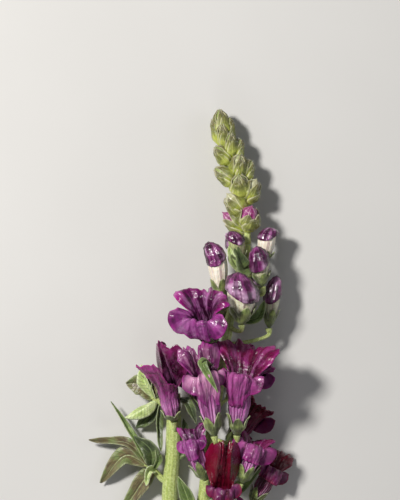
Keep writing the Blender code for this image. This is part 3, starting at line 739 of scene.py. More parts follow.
SEPAL_WALL = 0.35
SEPAL_COUNT = 5
SEPAL_MIDDLE = 12
SEPAL_CLEAR = 0.8
SEPAL_LENGTH = 7.0
SEPAL_LOW = 0.12
SEPAL_KEEL = 0.35
SEPAL_CURLED = 0.3
SEPAL_MARGIN = (0.72, 0.25, 0.9)
CALYX_ROUND = 120
CUP_ROWS = 5
SEPAL_ROWS = 12
CALYX_FOOT = 1.0
CALYX_DROP = 0.6
STALK_RADII = (1.2, 0.8, 0.72, 0.85, 1.5)
STALK_SIDES = 20
STALK_STEPS = 6


def calyx(name, base, tip, belly, middle, margin, seed, section):
    """Five sepals on a small cup round the foot of a floret.

    The section gives, for an angle, a share of the cup, a reach into the sepals and how far off the
    middle of its sepal it is, the share of the floret's length, the side and back offsets there, and how
    far the calyx stands clear.
    """
    base, tip = Vector(base), Vector(tip)
    side, back, ahead = floret_axes(base, tip, belly)
    length = (tip - base).length
    phases = phases_of(random.Random(seed), FRILLS)
    span = 360 / SEPAL_COUNT
    edge_from, edge_run, tip_from = margin
    heights = [(at / CUP_ROWS, 0.0) for at in range(CUP_ROWS)]
    heights += [(1.0, at / SEPAL_ROWS) for at in range(SEPAL_ROWS + 1)]
    rows = []
    for low, reach in heights:
        row = []
        for column in range(CALYX_ROUND):
            turn = tau * column / CALYX_ROUND
            off = ((degrees(turn) - middle + span / 2) % span - span / 2) / (span / 2)
            share, x, y, clear = section(turn, low, reach, off, phases)
            place = base + side * x + back * y + ahead * (share * length - CALYX_DROP)
            place += outward_at(side, back, turn) * clear
            edge = climb(abs(off), edge_from, edge_run) * min(1.0, reach * 3)
            edge = max(edge, climb(reach, tip_from, 1 - tip_from))
            row.append((place, grain_at(turn, share * length), (share, edge, abs(off))))
        rows.append(row)
    foot = (base - ahead * (CALYX_FOOT + CALYX_DROP), (0, 0, 0), (0.0, 0.0, 0.0))
    return round_skin(name, rows, [SEPAL_SHADE], foot, wall=SEPAL_WALL)


def bloom_calyx(name, base, mouth, belly, shape):
    """The calyx of an open bloom, close on the petal tube, its sepals of uneven length."""
    scale = shape["width"]
    longest = SEPAL_LENGTH * scale * shape["sepals"] / (Vector(mouth) - Vector(base)).length

    def section(turn, low, reach, off, phases):
        sepal = SEPAL_LOW + (1 - SEPAL_LOW) * (1 - abs(off) ** 1.5)
        uneven = 0.3 * sin(turn + phases[0]) * sin(2 * turn + phases[1])
        sepal *= 1 + 0.06 * waves(turn, FRILLS, phases) + uneven
        share = TUBE_STATIONS[1] * low + longest * reach * sepal
        x, y = tube_point(turn, share, scale)
        clear = SEPAL_CLEAR * (0.35 + 0.65 * eased(low))
        clear += (SEPAL_KEEL * hill(off, 0, 0.22) + 0.25 * abs(off) ** 3) * reach
        clear += SEPAL_CURLED * scale * (reach * sepal) ** 3 * (1 + 2 * waves(turn, PLEATS, phases))
        return share, x, y, clear

    return calyx(name, base, mouth, belly, SEPAL_MIDDLE, SEPAL_MARGIN, shape["seed"] + 100, section)


def stalk(name, base, mouth, start):
    """The short stalk from the stem to the foot of a calyx, with a bend in it."""
    base, mouth, start = Vector(base), Vector(mouth), Vector(start)
    ahead = (mouth - base).normalized()
    seat = base - ahead * (CALYX_FOOT + CALYX_DROP)
    bend = seat - ahead * min(4.0, (seat - start).length * 0.4)
    route = smooth_route((start, start.lerp(bend, 0.65), bend.lerp(seat, 0.3), seat), STALK_STEPS)
    return rod(name, route, STALK_RADII, STALK_SIDES, STEM_SHADE)


def sepal_shade():
    """Yellow-green with a darker middle, fine veins and a whitish margin."""
    made, tree = plant_skin("sepal_skin", 0.45, 0.15, 0.2)
    _, margin, off = marks(tree)
    lines = streaks(tree, 12.0, 1.0)
    patches = blotches(tree, 320.0)
    colour = ramp(
        tree, patches,
        (0.34, (0.035, 0.045, 0.012)), (0.5, (0.10, 0.14, 0.03)), (0.66, (0.30, 0.38, 0.10)),
    )
    colour = layered(
        tree, colour,
        (lines, 0.48, 0.66, 0.5, (0.46, 0.52, 0.22)),
        (lines, 0.48, 0.34, 0.6, (0.07, 0.08, 0.02)),
        (off, 0.35, 0.0, 0.3, (0.13, 0.13, 0.05)),
        (margin, 0.0, 1.0, 0.5, (0.52, 0.55, 0.34)),
    )
    return painted(made, colour, (lines, 0.3), (patches, 0.25))


SEPAL_SHADE = sepal_shade()
for name, (base, mouth, belly, start, change) in BLOOMS.items():
    cup = bloom_calyx(name + "_sepals", base, mouth, belly, {**STANDARD, **change})
    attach(cup, "root")
    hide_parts(name + "_calyx")
    carrier = stalk(name + "_stalk", base, mouth, start)
    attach(carrier, "root")
    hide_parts("stem")

# The coloured buds: petals still shut, a narrow cream or pale green tube under a swollen purple hood of
# folded lobes. Each sits in its own five sepals on a short stalk.

BUD_ROUND = 80
BUD_TUBE_ROWS = 12
BUD_HOOD_ROWS = 22
BUD_STATIONS = (0.0, 0.06, 0.26, 0.46, 0.56, 0.78, 0.94, 1.0)
BUD_SPREAD = (0.2, 0.42, 0.76, 0.92, 0.96, 0.90, 0.62, 0.0)
BUD_UNEVEN = 0.05
BUD_CLEAR = 0.45
BUD_CUP = 0.12
BUD_SEPAL_MIDDLE = 18
BUD_SEPAL_LENGTH = 0.22
BUD_SEPAL_MARGIN = (0.68, 0.28, 0.88)
HOOD_STATIONS = (0.0, 0.12, 0.4, 0.7, 0.9, 1.0)
HOOD_SPREAD = (1.06, 1.12, 1.06, 0.84, 0.46, 0.0)
HOOD_OVERHANG = 0.035
HOOD_SWAY = 15
CREST_HEIGHT = 0.11
BUD_STALK_DROP = 3.0
SIDE_STALK_DROP = 1.2
SPIKE_MIDDLE = 14.0
SPIKE_HALF = 6.0

# Each crease of a hood: its angle in degrees, its depth, and its width in radians
HOOD_CREASES = ((180, 0.15, 0.16), (95, 0.08, 0.12), (262, 0.09, 0.12), (20, 0.12, 0.2))

# Each bud: foot, tip, radius, share of its length under the hood, paleness of its tube, way that the
# hood bends, slant of the hood's lower edge
BUDS = {
    "bud_01": ((16.4, -28.0, 21.5), (16.6, -8.6, 24.5), 6.0, 0.52, 0.6, (-1.5, 0, 0), -0.12),
    "bud_02": ((8.4, -18.0, 17.5), (5.8, 3.4, 19.0), 4.0, 0.64, 1.0, (-2.6, 0, 0), 0.06),
    "bud_03": ((24.4, -13.0, 16.8), (22.8, 1.6, 19.5), 3.9, 0.44, 0.4, (-0.5, 0, 0), 0.10),
    "bud_04": ((27.4, -29.5, 11.5), (29.4, -10.0, 11.5), 3.3, 0.50, 0.5, (1.0, 0, 0), 0.05),
    "bud_05": ((15.6, -4.5, 15.8), (13.6, 7.6, 18.6), 3.3, 0.68, 0.1, (-1.2, 0, 0), -0.08),
    "bud_06": ((25.2, -4.0, 11.4), (27.2, 9.0, 12.6), 3.6, 0.70, 1.0, (0.8, 0, 0), 0.10),
    "bud_07": ((11.0, -30.5, 9.2), (5.5, -14.0, 5.6), 4.6, 0.45, 0.4, (-0.6, 0, -0.4), 0.05),
    "bud_08": ((19.6, -20.5, 7.2), (21.6, -5.0, 4.6), 4.2, 0.48, 0.6, (0.6, 0, -0.3), -0.05),
    "bud_09": ((14.6, -5.0, 6.2), (13.0, 8.0, 3.6), 3.4, 0.50, 0.6, (-0.3, 0, 0), 0.05),
}


def hood_fold(turn, share, sway):
    """What the creases of a hood leave of its radius: they are deepest about half way up it."""
    fold = 1.0
    deepest = sin(pi * share ** 0.7) ** 0.8
    for middle, deep, wide in HOOD_CREASES:
        away = (degrees(turn) - middle - sway + 180) % 360 - 180
        fold -= deep * hill(away, 0, degrees(wide)) * deepest
    return fold


def bud(name, base, tip, radius, hood, pale, bend, slant, seed):
    """A shut bud: its tube, and a hood of folded lobes that overhangs it, creased where they meet."""
    base, tip, bend = Vector(base), Vector(tip), Vector(bend)
    side, back, ahead = floret_axes(base, tip, (0, 0, 1))
    length = (tip - base).length
    chance = random.Random(seed)
    sway = chance.uniform(-HOOD_SWAY, HOOD_SWAY)
    phases = phases_of(chance, FRILLS)
    shares = [(at / BUD_TUBE_ROWS, False) for at in range(1, BUD_TUBE_ROWS + 1)]
    shares += [((at + 0.01) / BUD_HOOD_ROWS, True) for at in range(BUD_HOOD_ROWS)]
    rows = []
    for share, hooded in shares:
        row = []
        for column in range(BUD_ROUND):
            turn = tau * column / BUD_ROUND
            start = hood + slant * sin(turn) - 0.05 * cos(2 * turn)
            start += 0.012 * waves(turn, FRILLS, phases)
            if hooded:
                along = start - HOOD_OVERHANG + (1 + HOOD_OVERHANG - start) * share
                swirl = Vector((cos(turn), sin(turn), share * 1.2)) * 1.4
                crest = noise(swirl + Vector((seed * 3.1, 0, 0)))
                reach = radius * rounded(share, HOOD_STATIONS, HOOD_SPREAD)
                reach *= hood_fold(turn, share, sway) + CREST_HEIGHT * crest
                # The third mark rises above 0.75 on the crests, where the material paints a highlight.
                purple = 0.75 + 0.5 * crest
            else:
                along = start * share
                reach = radius * rounded(along, BUD_STATIONS, BUD_SPREAD)
                reach *= 1 + BUD_UNEVEN * waves(turn, PLEATS, phases)
                purple = 0.0
            over = max(0.0, (along - hood) / (1 - hood))
            place = base + ahead * along * length + outward_at(side, back, turn) * reach + bend * over ** 1.4
            row.append((place, grain_at(turn, along * length), (along, pale, purple)))
        rows.append(row)
    foot = (base, (0, 0, 0), (0.0, pale, 0.0))
    top = (tip + bend, (0, 0, length / CM), (1.0, pale, 0.75))
    return round_skin(name, rows, [BUD_SHADE], foot, top)


def bud_calyx(name, base, tip, radius, seed):
    """The calyx of a bud, close on its round tube."""

    def section(turn, low, reach, off, phases):
        sepal = (0.15 + 0.9 * (1 - abs(off) ** 1.7)) * (1 + 0.08 * waves(turn, FRILLS, phases))
        share = BUD_CUP * low + BUD_SEPAL_LENGTH * reach * sepal
        wide = radius * rounded(share, BUD_STATIONS, BUD_SPREAD)
        clear = BUD_CLEAR * (0.5 + 0.5 * eased(low)) + 0.15 * (reach * sepal) ** 2
        clear += 0.3 * hill(off, 0, 0.25) * reach
        return share, wide * sin(turn), wide * cos(turn), clear

    return calyx(name, base, tip, (0, 0, 1), BUD_SEPAL_MIDDLE, BUD_SEPAL_MARGIN, seed, section)


def bud_shade():
    """Cream to pale green below, dark purple above, with painted highlights of lilac to whitish on its folds.
    """
    made, tree = plant_skin("bud_skin", 0.2, 0.12, 0.05, Weight=0.5, Roughness=0.15)
    _, pale, hooded = marks(tree)
    lines = streaks(tree, 9.0, 0.8)
    broad = streaks(tree, 2.6, 0.9)
    patches = blotches(tree, 420.0)
    tube = ramp(
        tree, lines, (0.3, (0.60, 0.48, 0.36)), (0.45, (0.90, 0.80, 0.64)), (0.6, (0.96, 0.92, 0.80)),
    )
    green = ramp(tree, lines, (0.3, (0.22, 0.26, 0.08)), (0.7, (0.50, 0.55, 0.24)))
    # The hood's ramp runs from near black to lilac over this cloud: partly the hood's own tone, partly
    # painted highlight.
    cloud = times(tree, math_of(tree, "ADD", broad, blotches(tree, 240.0, 2.0)), 0.5)
    hood = ramp(
        tree, cloud,
        (0.38, (0.02, 0.001, 0.015)), (0.50, (0.09, 0.004, 0.06)), (0.62, (0.36, 0.08, 0.28)),
    )
    # A painted highlight: pale lilac to whitish where the hood's mark rises on the crests of its folds.
    glint = times(tree, spread(tree, hooded, 0.78, 0.96), spread(tree, cloud, 0.44, 0.56))
    hood = layered(
        tree, hood,
        (lines, 0.5, 0.36, 0.6, (0.04, 0.002, 0.03)),
        (glint, 0.0, 1.0, 0.7, (0.66, 0.42, 0.62)),
    )
    colour = layered(
        tree, mixed(tree, pale, green, tube),
        (broad, 0.54, 0.66, 0.45, (0.36, 0.14, 0.24)),
        (hooded, 0.2, 0.3, 1.0, hood),
    )
    return painted(made, colour, (lines, 0.3), (patches, 0.7))


BUD_SHADE = bud_shade()
spike_line = smooth_route(SPIKE_ROUTE, STALK_STEPS)
for number, (name, (base, tip, radius, hood, pale, bend, slant)) in enumerate(BUDS.items()):
    shut = bud(name + "_shut", base, tip, radius, hood, pale, bend, slant, number)
    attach(shut, "root")
    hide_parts(name + "_petals")
    cup = bud_calyx(name + "_sepals", base, tip, radius, number)
    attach(cup, "root")
    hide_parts(name + "_calyx")
    beside = max(0.0, abs(base[0] - SPIKE_MIDDLE) - SPIKE_HALF)
    below = Vector(base) - Vector((0, BUD_STALK_DROP + SIDE_STALK_DROP * beside, 0))
    start = min(spike_line, key=lambda point: (point - below).length)
    carrier = stalk(name + "_stalk", base, tip, start)
    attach(carrier, "root")
    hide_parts("stem")

# The head: small green buds set all round the top of the spike, each wrapped in five pointed sepals and a
# bract with pale margins and fine hairs. Petals begin to show purple at the tips of the lower ones.

HEAD_ROUTE = (
    (18.85, 2.35, 11.75), (18.4, 13.0, 10.6), (16.8, 25.0, 9.6), (12.8, 36.0, 8.6), (10.2, 44.0, 7.6),
    (8.9, 50.0, 7.2),
)
HEAD_RADII = (1.4, 1.4, 1.3, 1.1, 1.0, 0.8)
HEAD_BUD_STATIONS = (0.0, 0.10, 0.40, 0.74, 1.0)
HEAD_BUD_SPREAD = (0.2, 0.60, 1.0, 0.70, 0.0)
CORE_SIDES = 16
FULLNESS = 1.08
KERNEL_ROUND = 28
KERNEL_ROWS = 14
KERNEL_SIZE = 0.92
SCALE_ACROSS = 11
SCALE_ALONG = 14
SCALE_WALL = 0.25
SCALE_KEEL = 0.35
SCALE_TURN = 0.6
SCALE_MARGIN = (0.72, 0.26)
SCALE_TIP = (0.9, 0.1)
SEPAL_HALF = 0.74
SEPAL_TALL = 0.97
RIPE_SHORTER = 0.22
SEPAL_LAPS = (0.25, 0.39)
BRACT_HALF = 0.95
BRACT_CLEAR = 0.7
BRACT_DROP = 0.8
HAIR_COUNT = 4200
HAIR_SEED = 5
HAIR_THICK = 0.03
HAIR_LENGTH = (0.5, 1.1)
HAIR_LEAN = 0.4

# Each small bud: foot, tip, radius, length of its bract against its own, ripeness from green to purple
HEAD_BUDS = (
    ((9.6, 43.0, 7.8), (7.6, 56.2, 8.6), 3.4, 1.0, 0.0),
    ((9.4, 42.0, 7.8), (5.0, 52.5, 9.0), 2.5, 1.0, 0.0),
    ((10.2, 41.5, 8.0), (11.8, 53.0, 9.2), 2.5, 1.0, 0.0),
    ((10.0, 41.0, 8.2), (8.6, 50.0, 12.6), 2.4, 1.0, 0.0),
    ((12.2, 37.5, 8.6), (12.0, 46.4, 13.0), 2.6, 1.05, 0.0),
    ((13.0, 36.5, 8.6), (16.2, 44.5, 10.0), 2.7, 0.95, 0.1),
    ((12.0, 35.0, 8.8), (5.8, 41.0, 12.0), 2.9, 1.05, 0.0),
    ((14.8, 29.5, 9.2), (15.6, 38.0, 14.0), 3.2, 0.90, 0.2),
    ((16.4, 28.0, 9.4), (20.6, 35.8, 10.5), 2.8, 0.95, 0.1),
    ((15.0, 27.0, 9.6), (5.6, 32.5, 11.0), 3.2, 1.0, 0.0),
    ((16.4, 21.5, 10.0), (15.2, 30.0, 15.5), 3.7, 1.0, 0.1),
    ((17.6, 19.5, 10.2), (22.6, 28.6, 12.5), 3.9, 0.6, 0.45),
    ((17.4, 15.0, 10.6), (10.4, 22.6, 13.5), 3.9, 0.75, 0.4),
    ((18.4, 8.5, 11.0), (20.6, 17.8, 16.0), 4.2, 0.7, 1.0),
    ((18.0, 8.0, 11.0), (8.6, 15.2, 11.0), 3.2, 0.7, 0.8),
    ((10.0, 41.0, 7.6), (9.0, 50.0, 3.4), 2.4, 1.0, 0.0),
    ((13.0, 35.0, 8.4), (11.0, 43.0, 3.0), 2.7, 1.0, 0.0),
    ((14.5, 30.0, 9.0), (18.0, 37.0, 4.0), 2.9, 0.9, 0.1),
    ((15.4, 26.0, 9.4), (11.0, 33.0, 4.0), 3.1, 0.9, 0.1),
    ((16.8, 20.0, 9.8), (20.0, 28.0, 4.6), 3.5, 0.8, 0.2),
    ((17.6, 15.0, 10.2), (13.0, 22.5, 4.8), 3.6, 0.8, 0.4),
    ((18.4, 9.0, 10.8), (20.5, 17.6, 5.4), 3.9, 0.7, 0.8),
)


def kernel(name, foot, axes, size, radius, ripeness):
    """The shut petals of a small bud, which show between its scales."""
    side, back, ahead = axes
    rows = []
    for step in range(1, KERNEL_ROWS):
        along = step / KERNEL_ROWS
        row = []
        for column in range(KERNEL_ROUND):
            turn = tau * column / KERNEL_ROUND
            reach = radius * rounded(along, HEAD_BUD_STATIONS, HEAD_BUD_SPREAD)
            reach *= KERNEL_SIZE + 0.06 * cos(3 * turn) - 0.10 * hill(turn, pi, 0.3)
            place = foot + ahead * (along * size) + outward_at(side, back, turn) * reach
            row.append((place, grain_at(turn, along * size), (along, 0.0, ripeness)))
        rows.append(row)
    low = (foot, (0, 0, 0), (0.0, 0.0, ripeness))
    top = (foot + ahead * size, (0, 0, size / CM), (1.0, 0.0, ripeness))
    return round_skin(name, rows, [HEAD_PETAL_SHADE], low, top)


def scale_leaf(foot, axes, size, radius, middle, half, tall, clear, ripeness):
    """One pointed sepal or bract as rows of spots, wrapped on a small bud of the given size."""
    side, back, ahead = axes
    rows = []
    for step in range(SCALE_ALONG):
        t = step / (SCALE_ALONG - 1)
        wide = half * max(0.02, sin(pi * (0.16 + 0.84 * t)) ** 0.75)
        along = t * tall
        row = []
        for column in range(SCALE_ACROSS):
            out = 2 * column / (SCALE_ACROSS - 1) - 1
            reach = radius * rounded(along, HEAD_BUD_STATIONS, HEAD_BUD_SPREAD)
            reach += clear + SCALE_KEEL * hill(out, 0, 0.3) * t + 0.5 * max(0.0, t - 0.8)
            place = foot + ahead * (along * size) + outward_at(side, back, middle + out * wide) * reach
            edge = max(climb(abs(out), *SCALE_MARGIN), climb(t, *SCALE_TIP))
            row.append((place, (out * 0.6, middle, along * size / CM), (t, edge, ripeness)))
        rows.append(row)
    return rows


def head_shade():
    """Yellow-green at the foot of each scale, darker and brownish to its tip, with a whitish margin."""
    made, tree = plant_skin("head_skin", 0.42, 0.15, 0.15)
    along, margin, _ = marks(tree)
    lines = streaks(tree, 9.0, 0.8)
    patches = blotches(tree, 350.0)
    colour = ramp(
        tree, along,
        (0.0, (0.72, 0.80, 0.10)), (0.32, (0.52, 0.58, 0.08)), (0.58, (0.19, 0.21, 0.035)),
        (1.0, (0.10, 0.07, 0.03)),
    )
    colour = layered(
        tree, colour,
        (lines, 0.52, 0.68, 0.5, (0.66, 0.68, 0.20)),
        (patches, 0.5, 0.34, 0.75, (0.10, 0.11, 0.02)),
        (margin, 0.0, 1.0, 0.6, (0.84, 0.80, 0.52)),
    )
    return painted(made, colour, (lines, 0.3), (patches, 0.2))


def head_petal_shade():
    """What shows between the scales: green petals, whitish and then purple on the lower buds."""
    made, tree = plant_skin("head_petal_skin", 0.28, 0.15, 0.1)
    _, _, ripeness = marks(tree)
    lines = streaks(tree, 6.0, 0.8)
    pale = ramp(tree, lines, (0.36, (0.36, 0.36, 0.16)), (0.6, (0.66, 0.64, 0.46)))
    ripe = ramp(
        tree, lines, (0.36, (0.16, 0.004, 0.07)), (0.54, (0.40, 0.08, 0.26)), (0.68, (0.78, 0.62, 0.66)),
    )
    colour = layered(
        tree, (0.30, 0.36, 0.10),
        (ripeness, 0.0, 0.4, 1.0, pale),
        (ripeness, 0.5, 0.8, 1.0, ripe),
    )
    return painted(made, colour, (lines, 0.3))


def hair_shade():
    """Clear whitish hairs."""
    made, tree = plant_skin("hair_skin", 0.4, 0.3, 0.0)
    colour = ramp(tree, blotches(tree, 900.0), (0.3, (0.62, 0.64, 0.46)), (0.7, (0.86, 0.86, 0.76)))
    return painted(made, colour)


def hairs(name, sheets, count, seed):
    """Fine hairs that stand on sheets of spots, each a slim spike leaning towards the sheet's tip."""
    chance = random.Random(seed)
    spots = []
    faces = []
    for _ in range(count):
        rows = chance.choice(sheets)
        low, at = chance.randrange(len(rows) - 1), chance.randrange(len(rows[0]) - 1)
        corner, along, across = rows[low][at][0], rows[low + 1][at][0], rows[low][at + 1][0]
        root = corner + (along - corner) * chance.random() + (across - corner) * chance.random()
        up = (along - corner).cross(across - corner).normalized()
        lean = (along - corner).normalized() * HAIR_LEAN
        lean += Vector([chance.uniform(-HAIR_LEAN, HAIR_LEAN) for _ in range(3)])
        side = (across - corner).normalized() * HAIR_THICK
        end = root + (up + lean) * chance.uniform(*HAIR_LENGTH)
        for corners in ((0, 1, 3), (1, 2, 3), (2, 0, 3), (0, 2, 1)):
            faces.append([len(spots) + corner for corner in corners])
        spots += [root - side, root + side, root + up.cross(side) * 1.7, end]
    return mesh_piece(name, [(spot + SHIFT) * MM for spot in spots], faces, [HAIR_SHADE])


HAIR_SHADE = hair_shade()
HEAD_SHADE = head_shade()
HEAD_PETAL_SHADE = head_petal_shade()
head_line = smooth_route(HEAD_ROUTE, STALK_STEPS)
core = rod("head_axis", head_line, HEAD_RADII, CORE_SIDES, STEM_SHADE)
kernels = []
scales = []
for count, (foot, tip, radius, bract, ripeness) in enumerate(HEAD_BUDS):
    foot, tip = Vector(foot), Vector(tip)
    radius *= FULLNESS
    size = (tip - foot).length
    at = min(range(len(head_line) - 1), key=lambda at: (head_line[at] - foot).length)
    axes = floret_axes(foot, tip, head_line[at + 1] - head_line[at])
    kernels.append(kernel("head_bud_%02d" % (count + 1), foot, axes, size, radius, ripeness))
    for sepal in range(SEPAL_COUNT):
        middle = tau * sepal / SEPAL_COUNT + SCALE_TURN
        tall = SEPAL_TALL - RIPE_SHORTER * ripeness
        lap = SEPAL_LAPS[sepal % 2]
        scales.append(scale_leaf(foot, axes, size, radius, middle, SEPAL_HALF, tall, lap, ripeness))
    low = foot - axes[2] * BRACT_DROP
    scales.append(scale_leaf(low, axes, size, radius, 0.0, BRACT_HALF, bract, BRACT_CLEAR, ripeness))
spots = [spot for rows in scales for row in rows for spot in row]
faces = []
for start in range(0, len(spots), SCALE_ALONG * SCALE_ACROSS):
    faces += grid(start, SCALE_ALONG, SCALE_ACROSS)
wrap = sheet("head_scales", spots, faces, [HEAD_SHADE], SCALE_WALL)
down = hairs("head_hairs", scales, HAIR_COUNT, HAIR_SEED)
for piece in (core, *kernels, wrap, down):
    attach(piece, "root")
    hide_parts("head")

# The leaves: two leafy sprays on the side shoot and small bracts on the stem. Thin narrow blades folded
# along the midrib, green with pale margins, some tinged brown.

LEAF_WALL = 0.3
LEAF_ACROSS = 17
LEAF_ALONG = 40
LEAF_POINT = 0.03
BLUNT_TIP = 0.45
CURL_FROM = 0.7
MIDRIB = (0.25, 0.12)
MARGIN_DROOP = 0.5
LEAF_MARGIN = (0.8, 0.18)
NOTCH_DEPTH = 4
SPRAY_RADII = (1.5, 1.3, 1.1, 1.0)

# Each spray: its stalk, then for each leaf its route, width, facing, midrib fold, edge wave, tip curl, tint
LEAFY_SPRAYS = {
    "spray_upper": (
        ((-11.6, -64.5, 7.2), (-14.0, -62.0, 7.8), (-16.5, -60.0, 8.0), (-19.5, -58.5, 8.2)),
        (
            (((-18.5, -59.0, 8.2), (-22.5, -53.5, 9.0), (-29.0, -52.5, 6.6)),
             9.0, (0.2, -0.4, 1), 0.6, 0.8, 1.0, "brown"),
            (((-18.0, -58.6, 8.8), (-22.0, -52.0, 11.0), (-22.5, -45.5, 10.0)),
             4.4, (-0.5, 0, 1), 0.9, 0.5, 1.5, "pale"),
            (((-18.0, -58.6, 8.6), (-18.6, -53.0, 10.5), (-17.0, -48.0, 11.0)),
             3.4, (0.6, 0, 1), 0.9, 0.4, 0.5, "green"),
            (((-17.5, -59.6, 8.8), (-22.5, -63.0, 10.8), (-29.5, -66.8, 8.8)),
             5.6, (-0.2, 0.5, 1), -0.8, 0.5, 0.5, "pale"),
            (((-16.6, -60.4, 7.4), (-20.5, -66.5, 5.6), (-25.5, -71.0, 3.8)),
             5.4, (0.3, 0.3, 1), 0.5, 0.4, 0.0, "dark"),
            (((-15.6, -60.8, 7.6), (-16.6, -68.0, 7.6), (-15.8, -80.0, 10.4)),
             3.6, (0.6, 0, 1), 0.8, 0.4, 0.5, "dark"),
        ),
    ),
    "spray_lower": (
        ((-11.6, -93.5, 5.2), (-15.8, -90.5, 5.6), (-18.5, -87.5, 5.6), (-22.0, -85.0, 5.8)),
        (
            (((-20.5, -86.2, 6.0), (-26.0, -75.0, 7.5), (-35.6, -60.4, 6.0)),
             2.7, (0.3, 0.3, 1), 0.9, 0.3, 0.5, "green"),
            (((-21.0, -85.4, 6.2), (-29.0, -77.0, 5.5), (-44.0, -76.6, 3.0)),
             4.2, (0, 0.5, 1), 0.7, 0.5, 2.0, "brown"),
            (((-21.0, -85.6, 5.4), (-30.0, -82.0, 5.4), (-39.5, -93.0, 2.4)),
             7.6, (-0.2, 0.3, 1), 0.5, 0.7, 0.0, "brown"),
            (((-19.6, -86.8, 6.2), (-19.5, -79.5, 10.4), (-26.0, -73.5, 12.0)),
             6.6, (0, -0.3, 1), 0.5, 0.9, 0.8, "dark"),
            (((-18.6, -87.6, 5.4), (-22.5, -92.0, 4.8), (-32.0, -106.0, 1.8)),
             7.2, (0, 0.3, 1), 0.4, 0.5, 0.0, "brown"),
            (((-18.0, -88.0, 6.8), (-20.5, -88.0, 9.0), (-21.6, -93.5, 9.4)),
             3.2, (0.4, 0.4, 1), 0.9, 0.5, 0.6, "pale"),
            (((-18.6, -87.0, 6.8), (-16.5, -83.0, 9.4), (-18.0, -78.5, 10.6)),
             2.8, (0.4, 0, 1), 0.9, 0.4, 0.6, "green"),
        ),
    ),
}

# Each bract of the stem: route, width, facing, midrib fold, edge wave, tip curl, notch at the tip, tint
BRACTS = (
    (((-9.5, -60.0, 9.0), (-5.0, -60.5, 13.6), (-1.6, -69.0, 13.4)),
     4.2, (0.3, 0.6, 1), 0.5, 0.4, 0.4, 0.0, "dark"),
    (((-9.6, -84.0, 6.4), (-5.4, -77.0, 8.4), (-6.6, -67.0, 9.4)),
     4.4, (0.2, 0, 1), 0.5, 0.4, 0.5, 0.0, "dark"),
    (((-2.6, -108.0, 8.4), (-4.6, -99.0, 13.0), (-8.6, -89.5, 13.4)),
     6.0, (-0.3, -0.3, 1), 0.4, 0.4, 0.0, 0.0, "green"),
    (((2.4, -99.0, 10.0), (13.0, -95.5, 12.6), (24.0, -87.0, 13.0)),
     5.4, (-0.2, -0.2, 1), 0.4, 0.4, 0.5, 0.0, "green"),
    (((17.4, -9.0, 13.4), (17.2, -6.8, 18.6), (14.6, -0.4, 22.0)),
     6.6, (0, 0.6, 1), 0.4, 0.3, 0.0, 1.6, "dark"),
    (((12.6, -27.0, 15.0), (22.0, -27.0, 16.0), (25.6, -20.0, 16.0)),
     4.4, (0, 0.3, 1), 0.5, 0.3, 0.4, 0.0, "green"),
    (((8.0, -50.0, 17.0), (1.0, -44.0, 33.0), (7.0, -55.5, 36.0)),
     3.6, (0, 0, 1), 0.5, 0.3, 0.4, 0.0, "green"),
    (((18.4, -6.0, 13.0), (22.5, -4.0, 16.0), (28.0, -2.0, 16.5)),
     3.4, (0, 0.3, 1), 0.5, 0.3, 0.4, 0.0, "pale"),
    (((17.0, -10.0, 14.0), (13.0, -4.0, 18.0), (11.4, 1.6, 19.0)),
     3.6, (0, 0, 1), 0.5, 0.3, 0.4, 0.0, "pale"),
)


def blade(name, route, width, facing, fold, wave, curl, notch, seed, shade):
    """A leaf: a tapering sheet along a route, folded at the midrib, waved at its edges, curled at its tip."""
    facing = Vector(facing)
    phase = random.Random(seed).uniform(0, tau)
    rows = []
    for point, ahead, share, run in along_route(smooth_route(route, LEAF_ALONG // (len(route) - 1))):
        side = ahead.cross(facing).normalized()
        up = side.cross(ahead)
        blunt = BLUNT_TIP * climb(share, 0.5, 0.5) if notch else 0.0
        taper = sin(pi * min(1.0, 0.06 + 0.94 * share)) ** 0.8
        half = width / 2 * max(LEAF_POINT, taper, blunt)
        lift = curl * (max(0.0, share - CURL_FROM) / (1 - CURL_FROM)) ** 2
        row = []
        for column in range(LEAF_ACROSS):
            out = 2 * column / (LEAF_ACROSS - 1) - 1
            off = abs(out)
            rise = fold * half * off - MIDRIB[0] * hill(out, 0, MIDRIB[1])
            rise -= MARGIN_DROOP * half * max(0.0, off - 0.6) ** 2 * 2
            rise += wave * out * off * sin(7 * share + phase + (1.3 if out > 0 else 0))
            rise += 0.22 * wave * off * sin(26 * share + phase * 3 + out)
            rise += 0.5 * noise(point * 0.2 + side * out)
            uneven = 1 + 0.12 * noise(Vector((share * 5, seed, 2 if out > 0 else 0)))
            place = point + side * half * out * uneven + up * (rise + lift)
            place += ahead * notch * (off - out * out) * NOTCH_DEPTH * share ** 4
            parts = (share, climb(off, *LEAF_MARGIN), off)
            row.append((place, (out * half / 4, 0.0, run / CM), parts))
        rows.append(row)
    spots = [spot for row in rows for spot in row]
    return sheet(name, spots, grid(0, len(rows), LEAF_ACROSS), [shade], LEAF_WALL)


def leaf_shade(name, patch_colours, vein, edge):
    """Patches of a leaf's own greens under a pale midrib, side veins and margins."""
    made, tree = plant_skin(name, 0.4, 0.12, 0.1)
    along, margin, off = marks(tree)
    patches = blotches(tree, 190.0)
    fine = blotches(tree, 900.0)
    lines = streaks(tree, 14.0, 1.5)
    slant = math_of(tree, "ADD", times(tree, along, 11.0), times(tree, off, -1.6))
    ridges = math_of(tree, "ABSOLUTE", math_of(tree, "SINE", times(tree, slant, pi)))
    veins = spread(tree, ridges, 0.22, 0.0)
    colour = layered(
        tree, ramp(tree, patches, *zip((0.34, 0.48, 0.62), patch_colours)),
        (lines, 0.52, 0.7, 0.45, vein),
        (lines, 0.48, 0.32, 0.5, patch_colours[0]),
        (veins, 0.0, 1.0, 0.3, vein),
        (off, 0.12, 0.0, 0.8, vein),
        (margin, 0.0, 1.0, 0.7, edge),
    )
    return painted(made, colour, (veins, 0.25), (fine, 0.1), (patches, 0.4))


